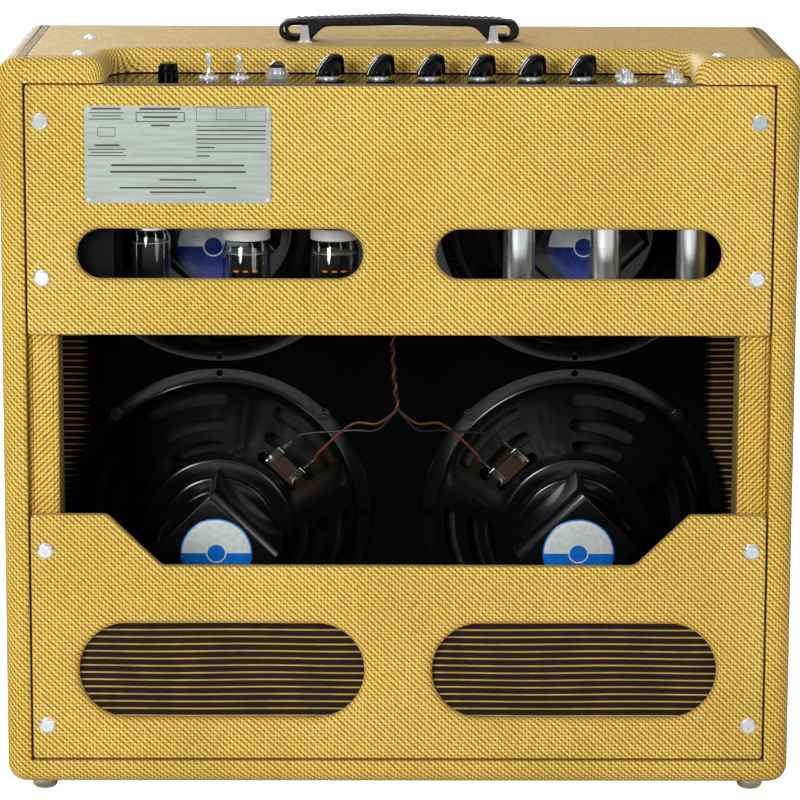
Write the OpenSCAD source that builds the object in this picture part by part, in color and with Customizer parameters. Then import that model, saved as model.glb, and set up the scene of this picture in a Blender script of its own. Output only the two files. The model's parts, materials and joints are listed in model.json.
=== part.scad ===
// Combo guitar amplifier with four 10 inch loudspeakers, open at the back.
// Origin: floor level, under the middle of the cabinet. +Z up, +Y towards the open back, grille at -Y.

/* [Cabinet] */
// Width of the cabinet across its sides
body_w = 603; // [600:1:606]
// Depth of the cabinet from grille side to back panels
body_d = 267; // [265:1:272]
// Height of the cabinet without its feet
body_h = 562; // [560:1:568]
// Thickness of the four solid boards
board_t = 19; // [18:0.5:19.5]
// Rounding of the outside edges
edge_r = 14; // [8:1:16]
// Height of the rubber feet
foot_h = 10; // [8:1:14]
// Diameter of a foot
foot_d = 20; // [16:1:24]

/* [Control opening] */
// Width of the opening in the top board
opening_w = 441; // [436:1:446]
// Depth of the opening from the back edge
opening_d = 72; // [70:1:84]
// Plan radius of the opening's inner corners
opening_r = 24; // [10:1:30]

/* [Back panels] */
// Thickness of both back panels
panel_t = 9; // [6:1:10]
// Gap between a panel and the side board
panel_gap = 1.5; // [1:0.5:3]
// Height of the upper panel's lower edge above the cabinet's underside
upper_low = 352; // [345:1:358]
// Height of the lower panel's upper edge
lower_high = 212.5; // [205:1:220]
// How far the lower panel's middle is stepped down
step_h = 40; // [30:1:45]
// Length of each slot in the upper panel
upper_slot_w = 216; // [200:1:220]
// Height of each slot in the upper panel
upper_slot_h = 38; // [30:1:44]
// Length of each slot in the lower panel
lower_slot_w = 219; // [200:1:222]
// Height of each slot in the lower panel
lower_slot_h = 75; // [60:1:84]
// Distance of every slot's middle from the centre line
slot_x = 135.5; // [130:0.5:138]

/* [Controls] */
// Distance between neighbouring knobs
knob_pitch = 38.3; // [37:0.1:39]
// Diameter of a knob's round base
knob_d = 19.4; // [17:0.2:21]
// Swing of a toggle lever to each side of upright
lever_lean = 12; // [8:1:14]
// Bore of an input jack
jack_bore_d = 6.6; // [6.4:0.1:6.8]

/* [Loudspeakers] */
// Outside diameter of a loudspeaker's flange
speaker_d = 246; // [240:1:248]
// Bolt circle of a loudspeaker
bolt_circle_d = 238; // [232:1:239]
// Distance of a loudspeaker's centre from the centre line
speaker_x = 144; // [142:0.5:146]
// Backward tilt of the baffle board in degrees
baffle_tilt = 6; // [4:0.5:6.5]
// Depth of a loudspeaker behind its flange
speaker_depth = 105; // [95:1:108]

/* [Hidden] */
$fn = 48;
eps = 0.01;

inner_w = body_w - 2 * board_t;
inner_h = body_h - 2 * board_t;
underside_top = body_h - board_t;
panel_w = inner_w - 2 * panel_gap;
panel_inset = 0.5;
panel_inner_depth = panel_inset + panel_t;

// Corner joints of the boards
finger_count = 12;
finger_pitch = body_d / finger_count;

// Battens at the sides that the back panels screw to
cleat_w = 24;
cleat_d = 48;
screw_x = 270;
upper_screw_heights = [514, 395.5];
lower_screw_heights = [184.5, 47];
screw_r = 1.75;
screw_hole_r = 1.8;
screw_head_r = 4.6;
washer_r = 6.4;

// Slot heights and the lower panel's outline
upper_slot_z = 413.5;
lower_slot_z = 89.5;
step_top_w = 445;
step_bottom_w = 362;
cloth_t = 1;

// Maker's plate
plate_w = 140;
plate_h = 73.5;
plate_x = 166.5;
plate_z = 489.5;
plate_t = 0.8;
rivet_r = 0.9;
rivet_inset = 2.8;

// Feet
foot_x = 274.5;
foot_inset_y = 30;

// Handle, in the middle of the top; heights count from the top board
handle_span = 73.1;
strap_w = 22;
strap_lift = 0.9;
loop_x = 85.9;
loop_z = 7.5;
loop_r = 7.3;
eye_x = 73.6;
eye_end = 82.5;
eye_z = 8;
eye_r = 3.9;
pin_r = 2.6;
pin_gap = 0.15;
pin_end_r = 1.5;
bracket_w = 12;
bracket_half = 12.3;
bracket_base_half = 20;
bracket_sheet = 0.9;
ear_t = 1.8;
bracket_screw_x = 3.1;
bracket_screw_y = 16.9;

// Chassis
chassis_half_w = 252;
chassis_d = 88;
chassis_rear = 1.5;
sheet_end = 221.5;
shelf_z = 450;
shelf_rear = 14;
sheet_t = 1.5;
ear_d = 162;
bolt_x = 241;
near_bolt_depth = 28;
far_bolt_depth = 150;

// Controls, along the middle of the control panel
control_depth = 40;
fuse_x = 175.3;
standby_x = 144.6;
power_x = 121.1;
lamp_x = 92.8;
first_knob_x = 54.2;
first_jack_x = -171.3;
jack_pitch = 37.4;
jack_depths = [22, 55];
knob_xs = [for (i = [0:5]) first_knob_x - i * knob_pitch];
jack_xs = [for (i = [0:1]) first_jack_x - i * jack_pitch];
bushing_r = 4.7;
thread_clear = 0.05;
shaft_r = 3.15;
knob_lift = 2.2;
knob_h = 15.6;
knob_tip = 13;
knob_back = 12.4;
knob_turn = -42;
nut_h = 1.5;
nut_across = 12;
jack_top = 6;
jack_low = 22;

// Toggle levers turn about a point in their bushings
pivot_h = 2;
lever_len = 16.4;
lever_root_r = 1.5;
lever_tip_r = 2.6;

// Fuse holder
fuse_r = 3.15;
fuse_len = 31;
fuse_bore_r = 3.88;
fuse_plug_r = 3.8;
fuse_flange_h = 5.5;
fuse_cap_h = 5.6;
fuse_plug_h = 8.6;
fuse_gap = 0.2;

// Tubes hang from the shelf
tube_depth = 62;
rectifier_x = 191;
power_tube_xs = [117.5, 49.5];
preamp_xs = [-92.3, -159, -225.5];
socket_h = 4;

// Baffle frame: flange of the lower loudspeakers against the board
lower_speaker_z = 166;
speaker_spacing = 251.9;
lower_flange_depth = 226;
flange_t = 2.5;
baffle_t = 9;
baffle_half_w = 250;
speaker_hole_r = 109;
window_angle = 38;
speaker_bolt_r = 2.4;
plateau_r = 59;
plateau_z = 50;
terminal_r = 74;
terminal_z = 40;
rail_t = 10;
rail_inset = 6;
rail_h = 38;

// Places on the cabinet: depth is measured from the back, height from the cabinet's underside
function rear(depth) = body_d / 2 - depth;
function up(height) = foot_h + height;
top_z = up(body_h);

module at(x, depth, height) {
    translate([x, rear(depth), up(height)]) children();
}

// Rectangle with round corners, centred
module round_rect(size, r) {
    square([size[0] - 2 * r, size[1]], center = true);
    square([size[0], size[1] - 2 * r], center = true);
    for (x = [-1, 1], y = [-1, 1])
        translate([x * (size[0] / 2 - r), y * (size[1] / 2 - r)])
            circle(r = r);
}

// Outline with round ends, centred
module pill(size) {
    r = size[1] / 2;
    square([size[0] - 2 * r, size[1]], center = true);
    for (x = [-1, 1])
        translate([x * (size[0] / 2 - r), 0])
            circle(r = r);
}

// Extrudes an X-Z outline from depth to depth + thickness, as on a back panel
module upright(depth, thickness) {
    translate([0, rear(depth), up(0)])
        rotate([90, 0, 0])
            linear_extrude(thickness) children();
}

module block(x0, x1, depth0, depth1, z0, z1) {
    translate([x0, rear(depth1), up(z0)])
        cube([x1 - x0, depth1 - depth0, z1 - z0]);
}

module ring(r_out, r_in, h) {
    difference() {
        cylinder(r = r_out, h = h);
        translate([0, 0, -1]) cylinder(r = r_in, h = h + 2);
    }
}

module hex_nut(across, bore_r, h) {
    difference() {
        cylinder(r = across / sqrt(3), h = h, $fn = 6);
        translate([0, 0, -1]) cylinder(r = bore_r, h = h + 2);
    }
}

// ---- Cabinet boards ----

// Rounded outside shape, from the three outlines
module cabinet_block() {
    translate([0, 0, up(body_h / 2)])
        intersection() {
            linear_extrude(body_h, center = true) round_rect([body_w, body_d], edge_r);
            rotate([90, 0, 0]) linear_extrude(body_d, center = true) round_rect([body_w, body_h], edge_r);
            rotate([0, 90, 0]) linear_extrude(body_w, center = true) round_rect([body_h, body_d], edge_r);
        }
}

// Alternate blocks of one corner joint: share 0 or 1
module finger_blocks(x0, z0, share) {
    for (i = [share:2:finger_count - 1])
        translate([x0, -body_d / 2 + i * finger_pitch, up(z0)])
            cube([board_t, finger_pitch, board_t]);
}

module flat_board(z0) {
    intersection() {
        cabinet_block();
        union() {
            translate([-inner_w / 2, -body_d / 2, up(z0)]) cube([inner_w, body_d, board_t]);
            finger_blocks(-body_w / 2, z0, 0);
            finger_blocks(inner_w / 2, z0, 0);
        }
    }
}

module side_board(x0) {
    intersection() {
        cabinet_block();
        union() {
            translate([x0, -body_d / 2, up(board_t)]) cube([board_t, body_d, inner_h]);
            finger_blocks(x0, 0, 1);
            finger_blocks(x0, underside_top, 1);
        }
    }
}

module cabinet_top() color("goldenrod") {
    difference() {
        flat_board(underside_top);
        translate([0, rear(0), up(underside_top) - 1])
            linear_extrude(board_t + 2) round_rect([opening_w, 2 * opening_d], opening_r);
        each_chassis_bolt() translate([0, 0, -board_t - 1]) cylinder(r = 2.6, h = board_t + 2);
        each_handle_screw() translate([0, 0, -12]) cylinder(r = screw_hole_r, h = 13);
    }
}

module cabinet_bottom() color("goldenrod") {
    difference() {
        flat_board(0);
        each_foot() translate([0, 0, foot_h - 1]) cylinder(r = screw_hole_r, h = 13);
    }
}

module cabinet_side_left() color("goldenrod") side_board(inner_w / 2);

module cabinet_side_right() color("goldenrod") side_board(-body_w / 2);

module back_cleats() color("darkgoldenrod") {
    difference() {
        for (side = [0, 1])
            mirror([side, 0, 0])
                block(inner_w / 2 - cleat_w, inner_w / 2, panel_inner_depth, panel_inner_depth + cleat_d,
                      board_t, underside_top);
        each_panel_screw() screw_way(30);
    }
}

// ---- Back panels ----

module each_panel_screw() {
    for (side = [-1, 1], z = concat(upper_screw_heights, lower_screw_heights))
        at(side * screw_x, panel_inset, z)
            rotate([90, 0, 0]) children();
}

// Clearance for a screw that goes in along +Z of the screw's own frame
module screw_way(length) {
    translate([0, 0, -1]) cylinder(r = screw_hole_r, h = length + 1);
}

module upper_back_panel() color("gold") {
    height = underside_top - sheet_t - 0.3 - upper_low;
    shoulder_h = 0.6;
    shoulder_x = sheet_end + 1;
    difference() {
        upright(panel_inset, panel_t)
            difference() {
                union() {
                    translate([0, upper_low + height / 2]) square([panel_w, height], center = true);
                    for (side = [-1, 1])
                        translate([side * (panel_w / 2 + shoulder_x) / 2, upper_low + height])
                            square([panel_w / 2 - shoulder_x, 2 * shoulder_h], center = true);
                }
                for (side = [-1, 1])
                    translate([side * slot_x, upper_slot_z]) pill([upper_slot_w, upper_slot_h]);
            }
        each_panel_screw() screw_way(panel_t + 1);
        each_rivet() cylinder(r = rivet_r, h = 5);
    }
}

module lower_back_panel() color("gold") {
    low = board_t + panel_gap;
    step_low = lower_high - step_h;
    difference() {
        upright(panel_inset, panel_t)
            difference() {
                polygon([
                    [-panel_w / 2, low], [panel_w / 2, low],
                    [panel_w / 2, lower_high], [step_top_w / 2, lower_high],
                    [step_bottom_w / 2, step_low], [-step_bottom_w / 2, step_low],
                    [-step_top_w / 2, lower_high], [-panel_w / 2, lower_high],
                ]);
                for (side = [-1, 1])
                    translate([side * slot_x, lower_slot_z]) pill([lower_slot_w, lower_slot_h]);
            }
        each_panel_screw() screw_way(panel_t + 1);
    }
}

module panel_screws() color("silver") {
    each_panel_screw()
        difference() {
            union() {
                cylinder(r = screw_r, h = 28);
                translate([0, 0, -1.9])
                    intersection() {
                        cylinder(r = screw_head_r, h = 1.9);
                        translate([0, 0, 4.6]) sphere(r = 6.5);
                    }
            }
            for (turn = [0, 90])
                rotate([0, 0, turn]) translate([-2.4, -0.5, -3]) cube([4.8, 1, 2.2]);
        }
}

module panel_washers() color("silver") {
    each_panel_screw()
        translate([0, 0, -0.8]) ring(washer_r, screw_head_r + 0.1, 0.8);
}

module rear_grille_cloth() color("saddlebrown") {
    for (side = [-1, 1])
        upright(panel_inner_depth, cloth_t)
            translate([side * slot_x, lower_slot_z])
                square([lower_slot_w + 16, lower_slot_h + 16], center = true);
}

module each_rivet() {
    for (x = [-1, 1], z = [-1, 1])
        at(plate_x + x * (plate_w / 2 - rivet_inset), panel_inset, plate_z + z * (plate_h / 2 - rivet_inset))
            rotate([90, 0, 0]) children();
}

module nameplate() color("silver") {
    difference() {
        upright(panel_inset - plate_t, plate_t)
            translate([plate_x, plate_z]) round_rect([plate_w, plate_h], 3);
        each_rivet() translate([0, 0, -2]) cylinder(r = rivet_r, h = 4);
    }
}

module nameplate_rivets() color("gainsboro") {
    each_rivet() {
        translate([0, 0, -plate_t]) cylinder(r = rivet_r, h = 5);
        translate([0, 0, -plate_t - 0.7]) cylinder(r = 1.4, h = 0.7);
    }
}

// ---- Feet ----

module each_foot() {
    for (x = [-1, 1], y = [-1, 1])
        translate([x * foot_x, y * (body_d / 2 - foot_inset_y), 0]) children();
}

module feet() color("tan") {
    each_foot()
        difference() {
            cylinder(r = foot_d / 2, h = foot_h);
            translate([0, 0, 3]) cylinder(r = screw_hole_r, h = foot_h);
            translate([0, 0, -1]) cylinder(r = 4.5, h = 4);
        }
}

module foot_screws() color("silver") {
    each_foot() {
        translate([0, 0, 3]) cylinder(r = screw_r, h = foot_h + 8);
        translate([0, 0, 1]) cylinder(r = 4, h = 2);
    }
}

// ---- Handle ----

module each_handle_end() {
    for (side = [0, 1])
        mirror([side, 0, 0]) translate([handle_span, 0, top_z]) children();
}

module each_handle_screw() {
    each_handle_end()
        for (x = [-1, 1], y = [-1, 1])
            translate([x * bracket_screw_x, y * bracket_screw_y, 0]) children();
}

// Side outline of the strap: an arched bar that ends in two loops with long eyes
module strap_outline() {
    difference() {
        for (side = [0, 1])
            mirror([side, 0]) {
                polygon([
                    [0, 11.9], [46, 11.5], [57.5, 11.2], [61.4, 9.7], [64.5, 6.9], [67.1, 2.8], [69.5, 1],
                    [74, 0.3], [loop_x, loop_z - loop_r], [loop_x, loop_z + loop_r], [77, 16], [62, 17.6],
                    [38, 18.9], [0, 19.5],
                ]);
                translate([loop_x, loop_z]) circle(r = loop_r);
            }
        for (side = [0, 1])
            mirror([side, 0]) {
                translate([eye_x, eye_z]) circle(r = eye_r);
                translate([eye_end, eye_z]) circle(r = eye_r);
                translate([eye_x, eye_z - eye_r]) square([eye_end - eye_x, 2 * eye_r]);
            }
    }
}

// The strap hangs on its pins by gravity, so the pins sit at the tops of its eyes
strap_pin_z = strap_lift + eye_z + eye_r - pin_r - pin_gap;

module handle_strap() color("black") {
    translate([0, strap_w / 2, top_z + strap_lift])
        rotate([90, 0, 0]) linear_extrude(strap_w) strap_outline();
}

module handle_brackets() color("silver") {
    difference() {
        each_handle_end()
            translate([-bracket_w / 2, -bracket_base_half, 0])
                cube([bracket_w, 2 * bracket_base_half, bracket_sheet]);
        each_handle_screw() translate([0, 0, -1]) cylinder(r = screw_hole_r, h = 3);
    }
    each_handle_end() {
        for (side = [0, 1])
            mirror([0, side, 0])
                translate([0, bracket_half + ear_t, bracket_sheet - eps])
                    rotate([90, 0, 0]) linear_extrude(ear_t) ear_outline();
        translate([0, bracket_half + eps, strap_pin_z])
            rotate([90, 0, 0]) cylinder(r = pin_r, h = 2 * (bracket_half + eps));
        translate([0, bracket_half + ear_t + 1, strap_pin_z])
            rotate([90, 0, 0]) cylinder(r = pin_end_r, h = 2 * (bracket_half + ear_t + 1));
    }
}

// A-shaped ear, wide at its base
module ear_outline() {
    polygon([[-4, 0], [4, 0], [2.4, strap_pin_z + 2.2], [-2.4, strap_pin_z + 2.2]]);
}

module handle_screws() color("silver") {
    each_handle_screw() {
        translate([0, 0, -11]) cylinder(r = screw_r, h = 11 + bracket_sheet);
        translate([0, 0, bracket_sheet])
            intersection() {
                cylinder(r = 2.6, h = 1.2);
                translate([0, 0, -2.6]) sphere(r = 3.8);
            }
    }
}

// ---- Chassis ----

module each_chassis_bolt() {
    for (place = [[bolt_x, near_bolt_depth], [bolt_x, far_bolt_depth], [-bolt_x, near_bolt_depth]])
        at(place[0], place[1], body_h) children();
}

module each_control_hole() {
    for (x = concat([standby_x, power_x], knob_xs))
        at(x, control_depth, underside_top) children();
    for (x = jack_xs, depth = jack_depths)
        at(x, depth, underside_top) children();
}

module each_tube_hole() {
    for (x = concat([rectifier_x], power_tube_xs, preamp_xs))
        at(x, tube_depth, shelf_z) children();
}

module chassis() color("lightsteelblue") {
    w = chassis_half_w;
    under = underside_top - sheet_t;
    difference() {
        union() {
            block(-w, w, chassis_rear, chassis_d, under, underside_top);
            block(-w, w, chassis_d - sheet_t, chassis_d, shelf_z, under + eps);
            block(-w, w, shelf_rear, chassis_d, shelf_z, shelf_z + sheet_t);
            for (side = [0, 1])
                mirror([side, 0, 0]) block(w - sheet_t, w, shelf_rear, chassis_d, shelf_z, under + eps);
            block(w - 24, w, chassis_d - eps, ear_d, under, underside_top);
        }
        for (side = [0, 1])
            mirror([side, 0, 0])
                block(sheet_end, w + 1, -1, panel_inset + panel_t + 0.3, under - 1, underside_top + 1);
        each_control_hole() translate([0, 0, -5]) cylinder(r = bushing_r + 0.1, h = 10);
        at(fuse_x, control_depth, underside_top - 5) cylinder(r = 6.3, h = 10);
        at(lamp_x, control_depth, underside_top - 5) cylinder(r = 6.1, h = 10);
        each_tube_hole() translate([0, 0, -5]) cylinder(r = 10, h = 10);
        each_chassis_bolt() translate([0, 0, -board_t - 10]) cylinder(r = 2.6, h = 20);
    }
}

// Domed bolt down through the top board with a nut under the chassis
module chassis_bolts() color("silver") {
    length = board_t + sheet_t + 6;
    each_chassis_bolt() {
        translate([0, 0, -length]) cylinder(r = 2.5, h = length);
        intersection() {
            cylinder(r = 5.2, h = 3);
            translate([0, 0, -3.4]) sphere(r = 6.2);
        }
        translate([0, 0, -board_t - sheet_t - 4]) cylinder(r = 5, h = 4, $fn = 6);
    }
}

// ---- Fuse ----

module fuse_holder() color("dimgray") {
    at(fuse_x, control_depth, underside_top)
        difference() {
            union() {
                cylinder(r = 7.9, h = fuse_flange_h);
                translate([0, 0, -40]) cylinder(r = 6.2, h = 41);
            }
            translate([0, 0, -37]) cylinder(r = fuse_bore_r, h = 60);
        }
}

module fuse_cap() color("black") {
    at(fuse_x, control_depth, underside_top + fuse_flange_h + 0.1) {
        cylinder(r = 7.5, h = fuse_cap_h - 1.5);
        translate([0, 0, fuse_cap_h - 1.5]) cylinder(r = 7.1, h = 1.5);
        translate([0, 0, -fuse_plug_h]) cylinder(r = fuse_plug_r, h = fuse_plug_h + 0.1);
    }
}

module fuse() color("lightcyan") {
    fuse_top = underside_top + fuse_flange_h + 0.1 - fuse_plug_h - fuse_gap;
    at(fuse_x, control_depth, fuse_top - fuse_len) cylinder(r = fuse_r, h = fuse_len);
}

// ---- Switches and lamp ----

module toggle_body(x) {
    at(x, control_depth, underside_top)
        difference() {
            union() {
                translate([0, 0, -12]) cylinder(r = bushing_r, h = 12 + nut_h + 2.5);
                translate([-6.5, -9, -26]) cube([13, 18, 24]);
            }
            translate([0, 0, -8]) cylinder(r = 3.7, h = 30);
        }
}

module toggle_switch_bodies() color("gray") {
    toggle_body(standby_x);
    toggle_body(power_x);
}

// Bat lever that pivots inside its bushing; lean is positive towards the grille
module lever(x, lean) {
    at(x, control_depth, underside_top + pivot_h)
        rotate([lean, 0, 0])
            rotate_extrude()
                polygon([
                    [0, -3], [lever_root_r, -3], [lever_root_r, 5],
                    [lever_tip_r, lever_len - 4], [lever_tip_r - 0.5, lever_len - 1],
                    [1.2, lever_len], [0, lever_len],
                ]);
}

module standby_lever() color("silver") lever(standby_x, lever_lean);

module power_lever() color("silver") lever(power_x, -lever_lean);

// A washer and a hexagon nut on every threaded bushing
module panel_nuts() color("silver") {
    each_control_hole() {
        ring(8, bushing_r + thread_clear, 0.6);
        translate([0, 0, 0.6]) hex_nut(nut_across, bushing_r + thread_clear, nut_h);
    }
}

module pilot_lamp_holder() color("silver") {
    at(lamp_x, control_depth, underside_top) {
        difference() {
            union() {
                cylinder(r = 8.6, h = 3.8, $fn = 6);
                translate([0, 0, 3.8 - eps]) cylinder(r = 6.9, h = 4.4);
                translate([0, 0, -22]) cylinder(r = 6, h = 23);
            }
            translate([0, 0, -20]) cylinder(r = 4.5, h = 40);
            translate([0, 0, 2]) cylinder(r = 6.2, h = 20);
        }
    }
}

module pilot_jewel() color("saddlebrown") {
    at(lamp_x, control_depth, underside_top + 2.1)
        rotate_extrude()
            polygon([[0, 0], [6.1, 0], [6.1, 6.4], [5.2, 8.8], [3, 10.4], [0, 11]]);
}

// ---- Controls ----

module potentiometers() color("gray") {
    for (x = knob_xs)
        at(x, control_depth, underside_top)
            difference() {
                union() {
                    translate([0, 0, -14]) cylinder(r = 12, h = 12);
                    translate([0, 0, -3]) cylinder(r = bushing_r, h = 3 + knob_lift - 0.3);
                }
                translate([0, 0, -12]) cylinder(r = shaft_r + thread_clear, h = 30);
            }
}

// Pointer knob on its shaft: round skirt, and a fin whose ridge slopes down to the tip
module pointer_knob(x) {
    r = knob_d / 2;
    at(x, control_depth, underside_top)
        rotate([0, 0, knob_turn]) {
            translate([0, 0, -11]) cylinder(r = shaft_r, h = 11 + knob_lift + 8);
            translate([0, 0, knob_lift])
                difference() {
                    union() {
                        cylinder(r = r, h = 4);
                        intersection() {
                            linear_extrude(knob_h)
                                polygon([
                                    [-5, -knob_back], [5, -knob_back], [5.6, -2], [2, knob_tip],
                                    [-2, knob_tip], [-5.6, -2],
                                ]);
                            translate([-10, 0, 0])
                                rotate([90, 0, 90])
                                    linear_extrude(20)
                                        polygon([
                                            [-knob_back, 0], [-knob_back, knob_h - 3.5], [3 - knob_back, knob_h],
                                            [-6, knob_h], [-2.5, knob_h - 0.8], [1.6, knob_h - 2.7],
                                            [7.2, knob_h - 7.1], [10.8, knob_h - 11.6], [knob_tip, 1.2],
                                            [knob_tip, 0],
                                        ]);
                        }
                    }
                    translate([0, 0, -1]) cylinder(r = shaft_r + 0.02, h = 10);
                }
        }
}

module presence_knob() color("black") pointer_knob(knob_xs[0]);

module middle_knob() color("black") pointer_knob(knob_xs[1]);

module bass_knob() color("black") pointer_knob(knob_xs[2]);

module treble_knob() color("black") pointer_knob(knob_xs[3]);

module bright_volume_knob() color("black") pointer_knob(knob_xs[4]);

module normal_volume_knob() color("black") pointer_knob(knob_xs[5]);

module input_jacks() color("gray") {
    for (x = jack_xs, depth = jack_depths)
        at(x, depth, underside_top)
            difference() {
                union() {
                    translate([0, 0, -6]) cylinder(r = bushing_r, h = 6 + jack_top);
                    translate([-9, -9, -jack_low - 2]) cube([18, 18, jack_low]);
                }
                translate([0, 0, -jack_low]) cylinder(r = jack_bore_d / 2, h = jack_low + jack_top + 2);
            }
}

// ---- Tubes, hanging from the shelf ----

module tube_at(x) {
    at(x, tube_depth, shelf_z) mirror([0, 0, 1]) children();
}

module tube_sockets() color("saddlebrown") {
    for (x = concat([rectifier_x], power_tube_xs))
        tube_at(x) ring(18.5, 6, socket_h);
    for (x = preamp_xs)
        tube_at(x) ring(12, 5, socket_h);
}

// Envelope with a domed end, open towards the base
module glass(r, length, wall) {
    rotate_extrude()
        difference() {
            union() {
                square([r, length - r * 0.7]);
                translate([0, length - r * 0.7])
                    intersection() {
                        circle(r = r);
                        square([r, r * 0.7]);
                    }
            }
            square([r - wall, length - r * 0.7]);
        }
}

// Octal tube: base, envelope and electrodes as separate solids
module octal_tube(x, glass_r, base_r, base_h, glass_h) {
    tube_at(x) {
        translate([0, 0, socket_h]) cylinder(r = base_r, h = base_h);
        translate([0, 0, socket_h + base_h]) glass(glass_r, glass_h, 1.2);
        translate([-glass_r * 0.6, -glass_r * 0.3, socket_h + base_h + 1])
            cube([glass_r * 1.2, glass_r * 0.6, glass_h - glass_r - 4]);
    }
}

module rectifier_tube() color("lightcyan") octal_tube(rectifier_x, 15.5, 16, 22, 62);

module power_tubes() color("lightcyan") {
    for (x = power_tube_xs)
        octal_tube(x, 18.5, 17, 30, 66);
}

module preamp_tubes() color("lightcyan") {
    for (x = preamp_xs)
        tube_at(x) translate([0, 0, socket_h]) glass(10, 52, 1);
}

module tube_shields() color("silver") {
    for (x = preamp_xs)
        tube_at(x)
            translate([0, 0, socket_h])
                difference() {
                    union() {
                        cylinder(r = 12.2, h = 66);
                        cylinder(r = 13.2, h = 6);
                    }
                    translate([0, 0, -1]) cylinder(r = 11.4, h = 66);
                    translate([0, 0, 60]) cylinder(r = 6, h = 10);
                }
}

// Spring bands that hold the octal tubes by their bases
module tube_clamps() color("whitesmoke") {
    for (x = power_tube_xs)
        tube_at(x) translate([0, 0, socket_h + 20]) ring(18.6, 17.05, 9);
    tube_at(rectifier_x) translate([0, 0, socket_h + 17]) ring(17.2, 16.05, 4);
}

// ---- Iron and board ----

// Laminated core with rounded end bells, its bolts left to the chassis side
module transformer(size, bell) {
    cube([size[0], size[1], size[2]], center = true);
    for (side = [0, 1])
        mirror([0, side, 0])
            translate([0, size[1] / 2 - eps, 0])
                rotate([-90, 0, 0]) linear_extrude(bell) round_rect([size[0] - 8, size[2] - 8], 8);
}

module power_transformer() color("dimgray") {
    at(233.5, 56, shelf_z - 43) transformer([42, 34, 84], 16);
}

module output_transformer() color("dimgray") {
    at(0, chassis_d + 27, 497) transformer([62, 26, 76], 13.5);
}

module choke() color("dimgray") {
    at(60, chassis_d + 17, 500) transformer([36, 18, 44], 8);
}

module component_board() color("peru") {
    block(-230, 200, 24, 76, 478, 481);
}

module board_components() color("khaki") {
    for (i = [0:13])
        at(-215 + i * 31, 50, 481 + 4.5 + 0.02)
            rotate([90, 0, 0]) cylinder(r = i % 3 == 0 ? 4.5 : 3, h = 34, center = true);
}

// ---- Baffle ----

// Frame on the back face of the baffle board: X across, +Y down the board, +Z out of the back
module on_baffle() {
    at(0, lower_flange_depth + flange_t / cos(baffle_tilt), lower_speaker_z)
        rotate([-90 - baffle_tilt, 0, 0]) children();
}

module each_speaker() {
    for (side = [-1, 1], row = [0, 1])
        speaker_at(side, row) children();
}

// Direction of a loudspeaker's terminals in its own frame: up and towards the middle of the cabinet
function terminal_turn(side) = -90 - side * 45;

// side is 1 for left, seen from the front as +X; row is 0 for lower, 1 for upper
module speaker_at(side, row) {
    on_baffle() translate([side * speaker_x, -row * speaker_spacing, 0]) children();
}

// Tilted slab between the boards, from z0 to z1 of the baffle frame
module baffle_slab(half_w, z0, z1, margin) {
    intersection() {
        on_baffle() translate([-half_w, -600, z0]) cube([2 * half_w, 1200, z1 - z0]);
        block(-half_w, half_w, -1, body_d, board_t + margin, underside_top - margin);
    }
}

module baffle_board() color("#202020") {
    difference() {
        baffle_slab(baffle_half_w, -baffle_t, 0, 0.5);
        each_speaker() translate([0, 0, -baffle_t - 1]) cylinder(r = speaker_hole_r, h = baffle_t + 2);
        each_speaker()
            each_speaker_bolt()
                translate([0, 0, -baffle_t - 1]) cylinder(r = speaker_bolt_r + 0.05, h = 20);
    }
}

module front_grille_cloth() color("#4a1a14") {
    baffle_slab(inner_w / 2 - 1, -baffle_t - cloth_t, -baffle_t, 0.5);
}

module front_rails() color("goldenrod") {
    front0 = body_d - rail_inset - rail_t;
    block(-inner_w / 2, inner_w / 2, front0, front0 + rail_t, underside_top - rail_h, underside_top);
    difference() {
        block(-inner_w / 2, inner_w / 2, front0, front0 + rail_t, board_t, board_t + rail_h);
        baffle_clearance();
    }
}

// Everything behind the front face of the grille cloth
module baffle_clearance() {
    on_baffle() translate([-400, -700, -baffle_t - cloth_t]) cube([800, 1400, 400]);
}

module baffle_battens() color("burlywood") {
    front1 = body_d - rail_inset - rail_t;
    difference() {
        block(-inner_w / 2, inner_w / 2, front1 - 46, front1, underside_top - 18, underside_top);
        baffle_clearance();
    }
}

// ---- Loudspeakers ----

module each_speaker_bolt() {
    for (turn = [45:90:315])
        rotate([0, 0, turn]) translate([bolt_circle_d / 2, 0, 0]) children();
}

// Half outline of the pressed frame, as radius and height above the baffle
module basket_profile() {
    r = speaker_d / 2;
    polygon([
        [r - 15, 0], [r, 0], [r, flange_t], [r - 11, flange_t],
        [r - 13, flange_t + 5], [plateau_r + 22, 34], [plateau_r, plateau_z],
        [plateau_r - 2, plateau_z + 4], [30, plateau_z + 4], [30, plateau_z + 2],
        [plateau_r - 4, plateau_z + 2], [plateau_r + 20, 32], [r - 15, flange_t + 5],
    ]);
}

module basket(side) {
    difference() {
        rotate_extrude($fn = 96) basket_profile();
        for (i = [0:5])
            rotate([0, 0, terminal_turn(side) + i * 60 - window_angle / 2])
                rotate_extrude(angle = window_angle, $fn = 96)
                    translate([plateau_r + 8, 6]) square([34, 38]);
        for (turn = [0:45:315])
            rotate([0, 0, turn])
                translate([bolt_circle_d / 2, 0, -1]) cylinder(r = 2.7, h = 10);
    }
}

module speaker_baskets() color("#1c2326") {
    for (side = [-1, 1], row = [0, 1])
        speaker_at(side, row) basket(side);
}

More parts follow.
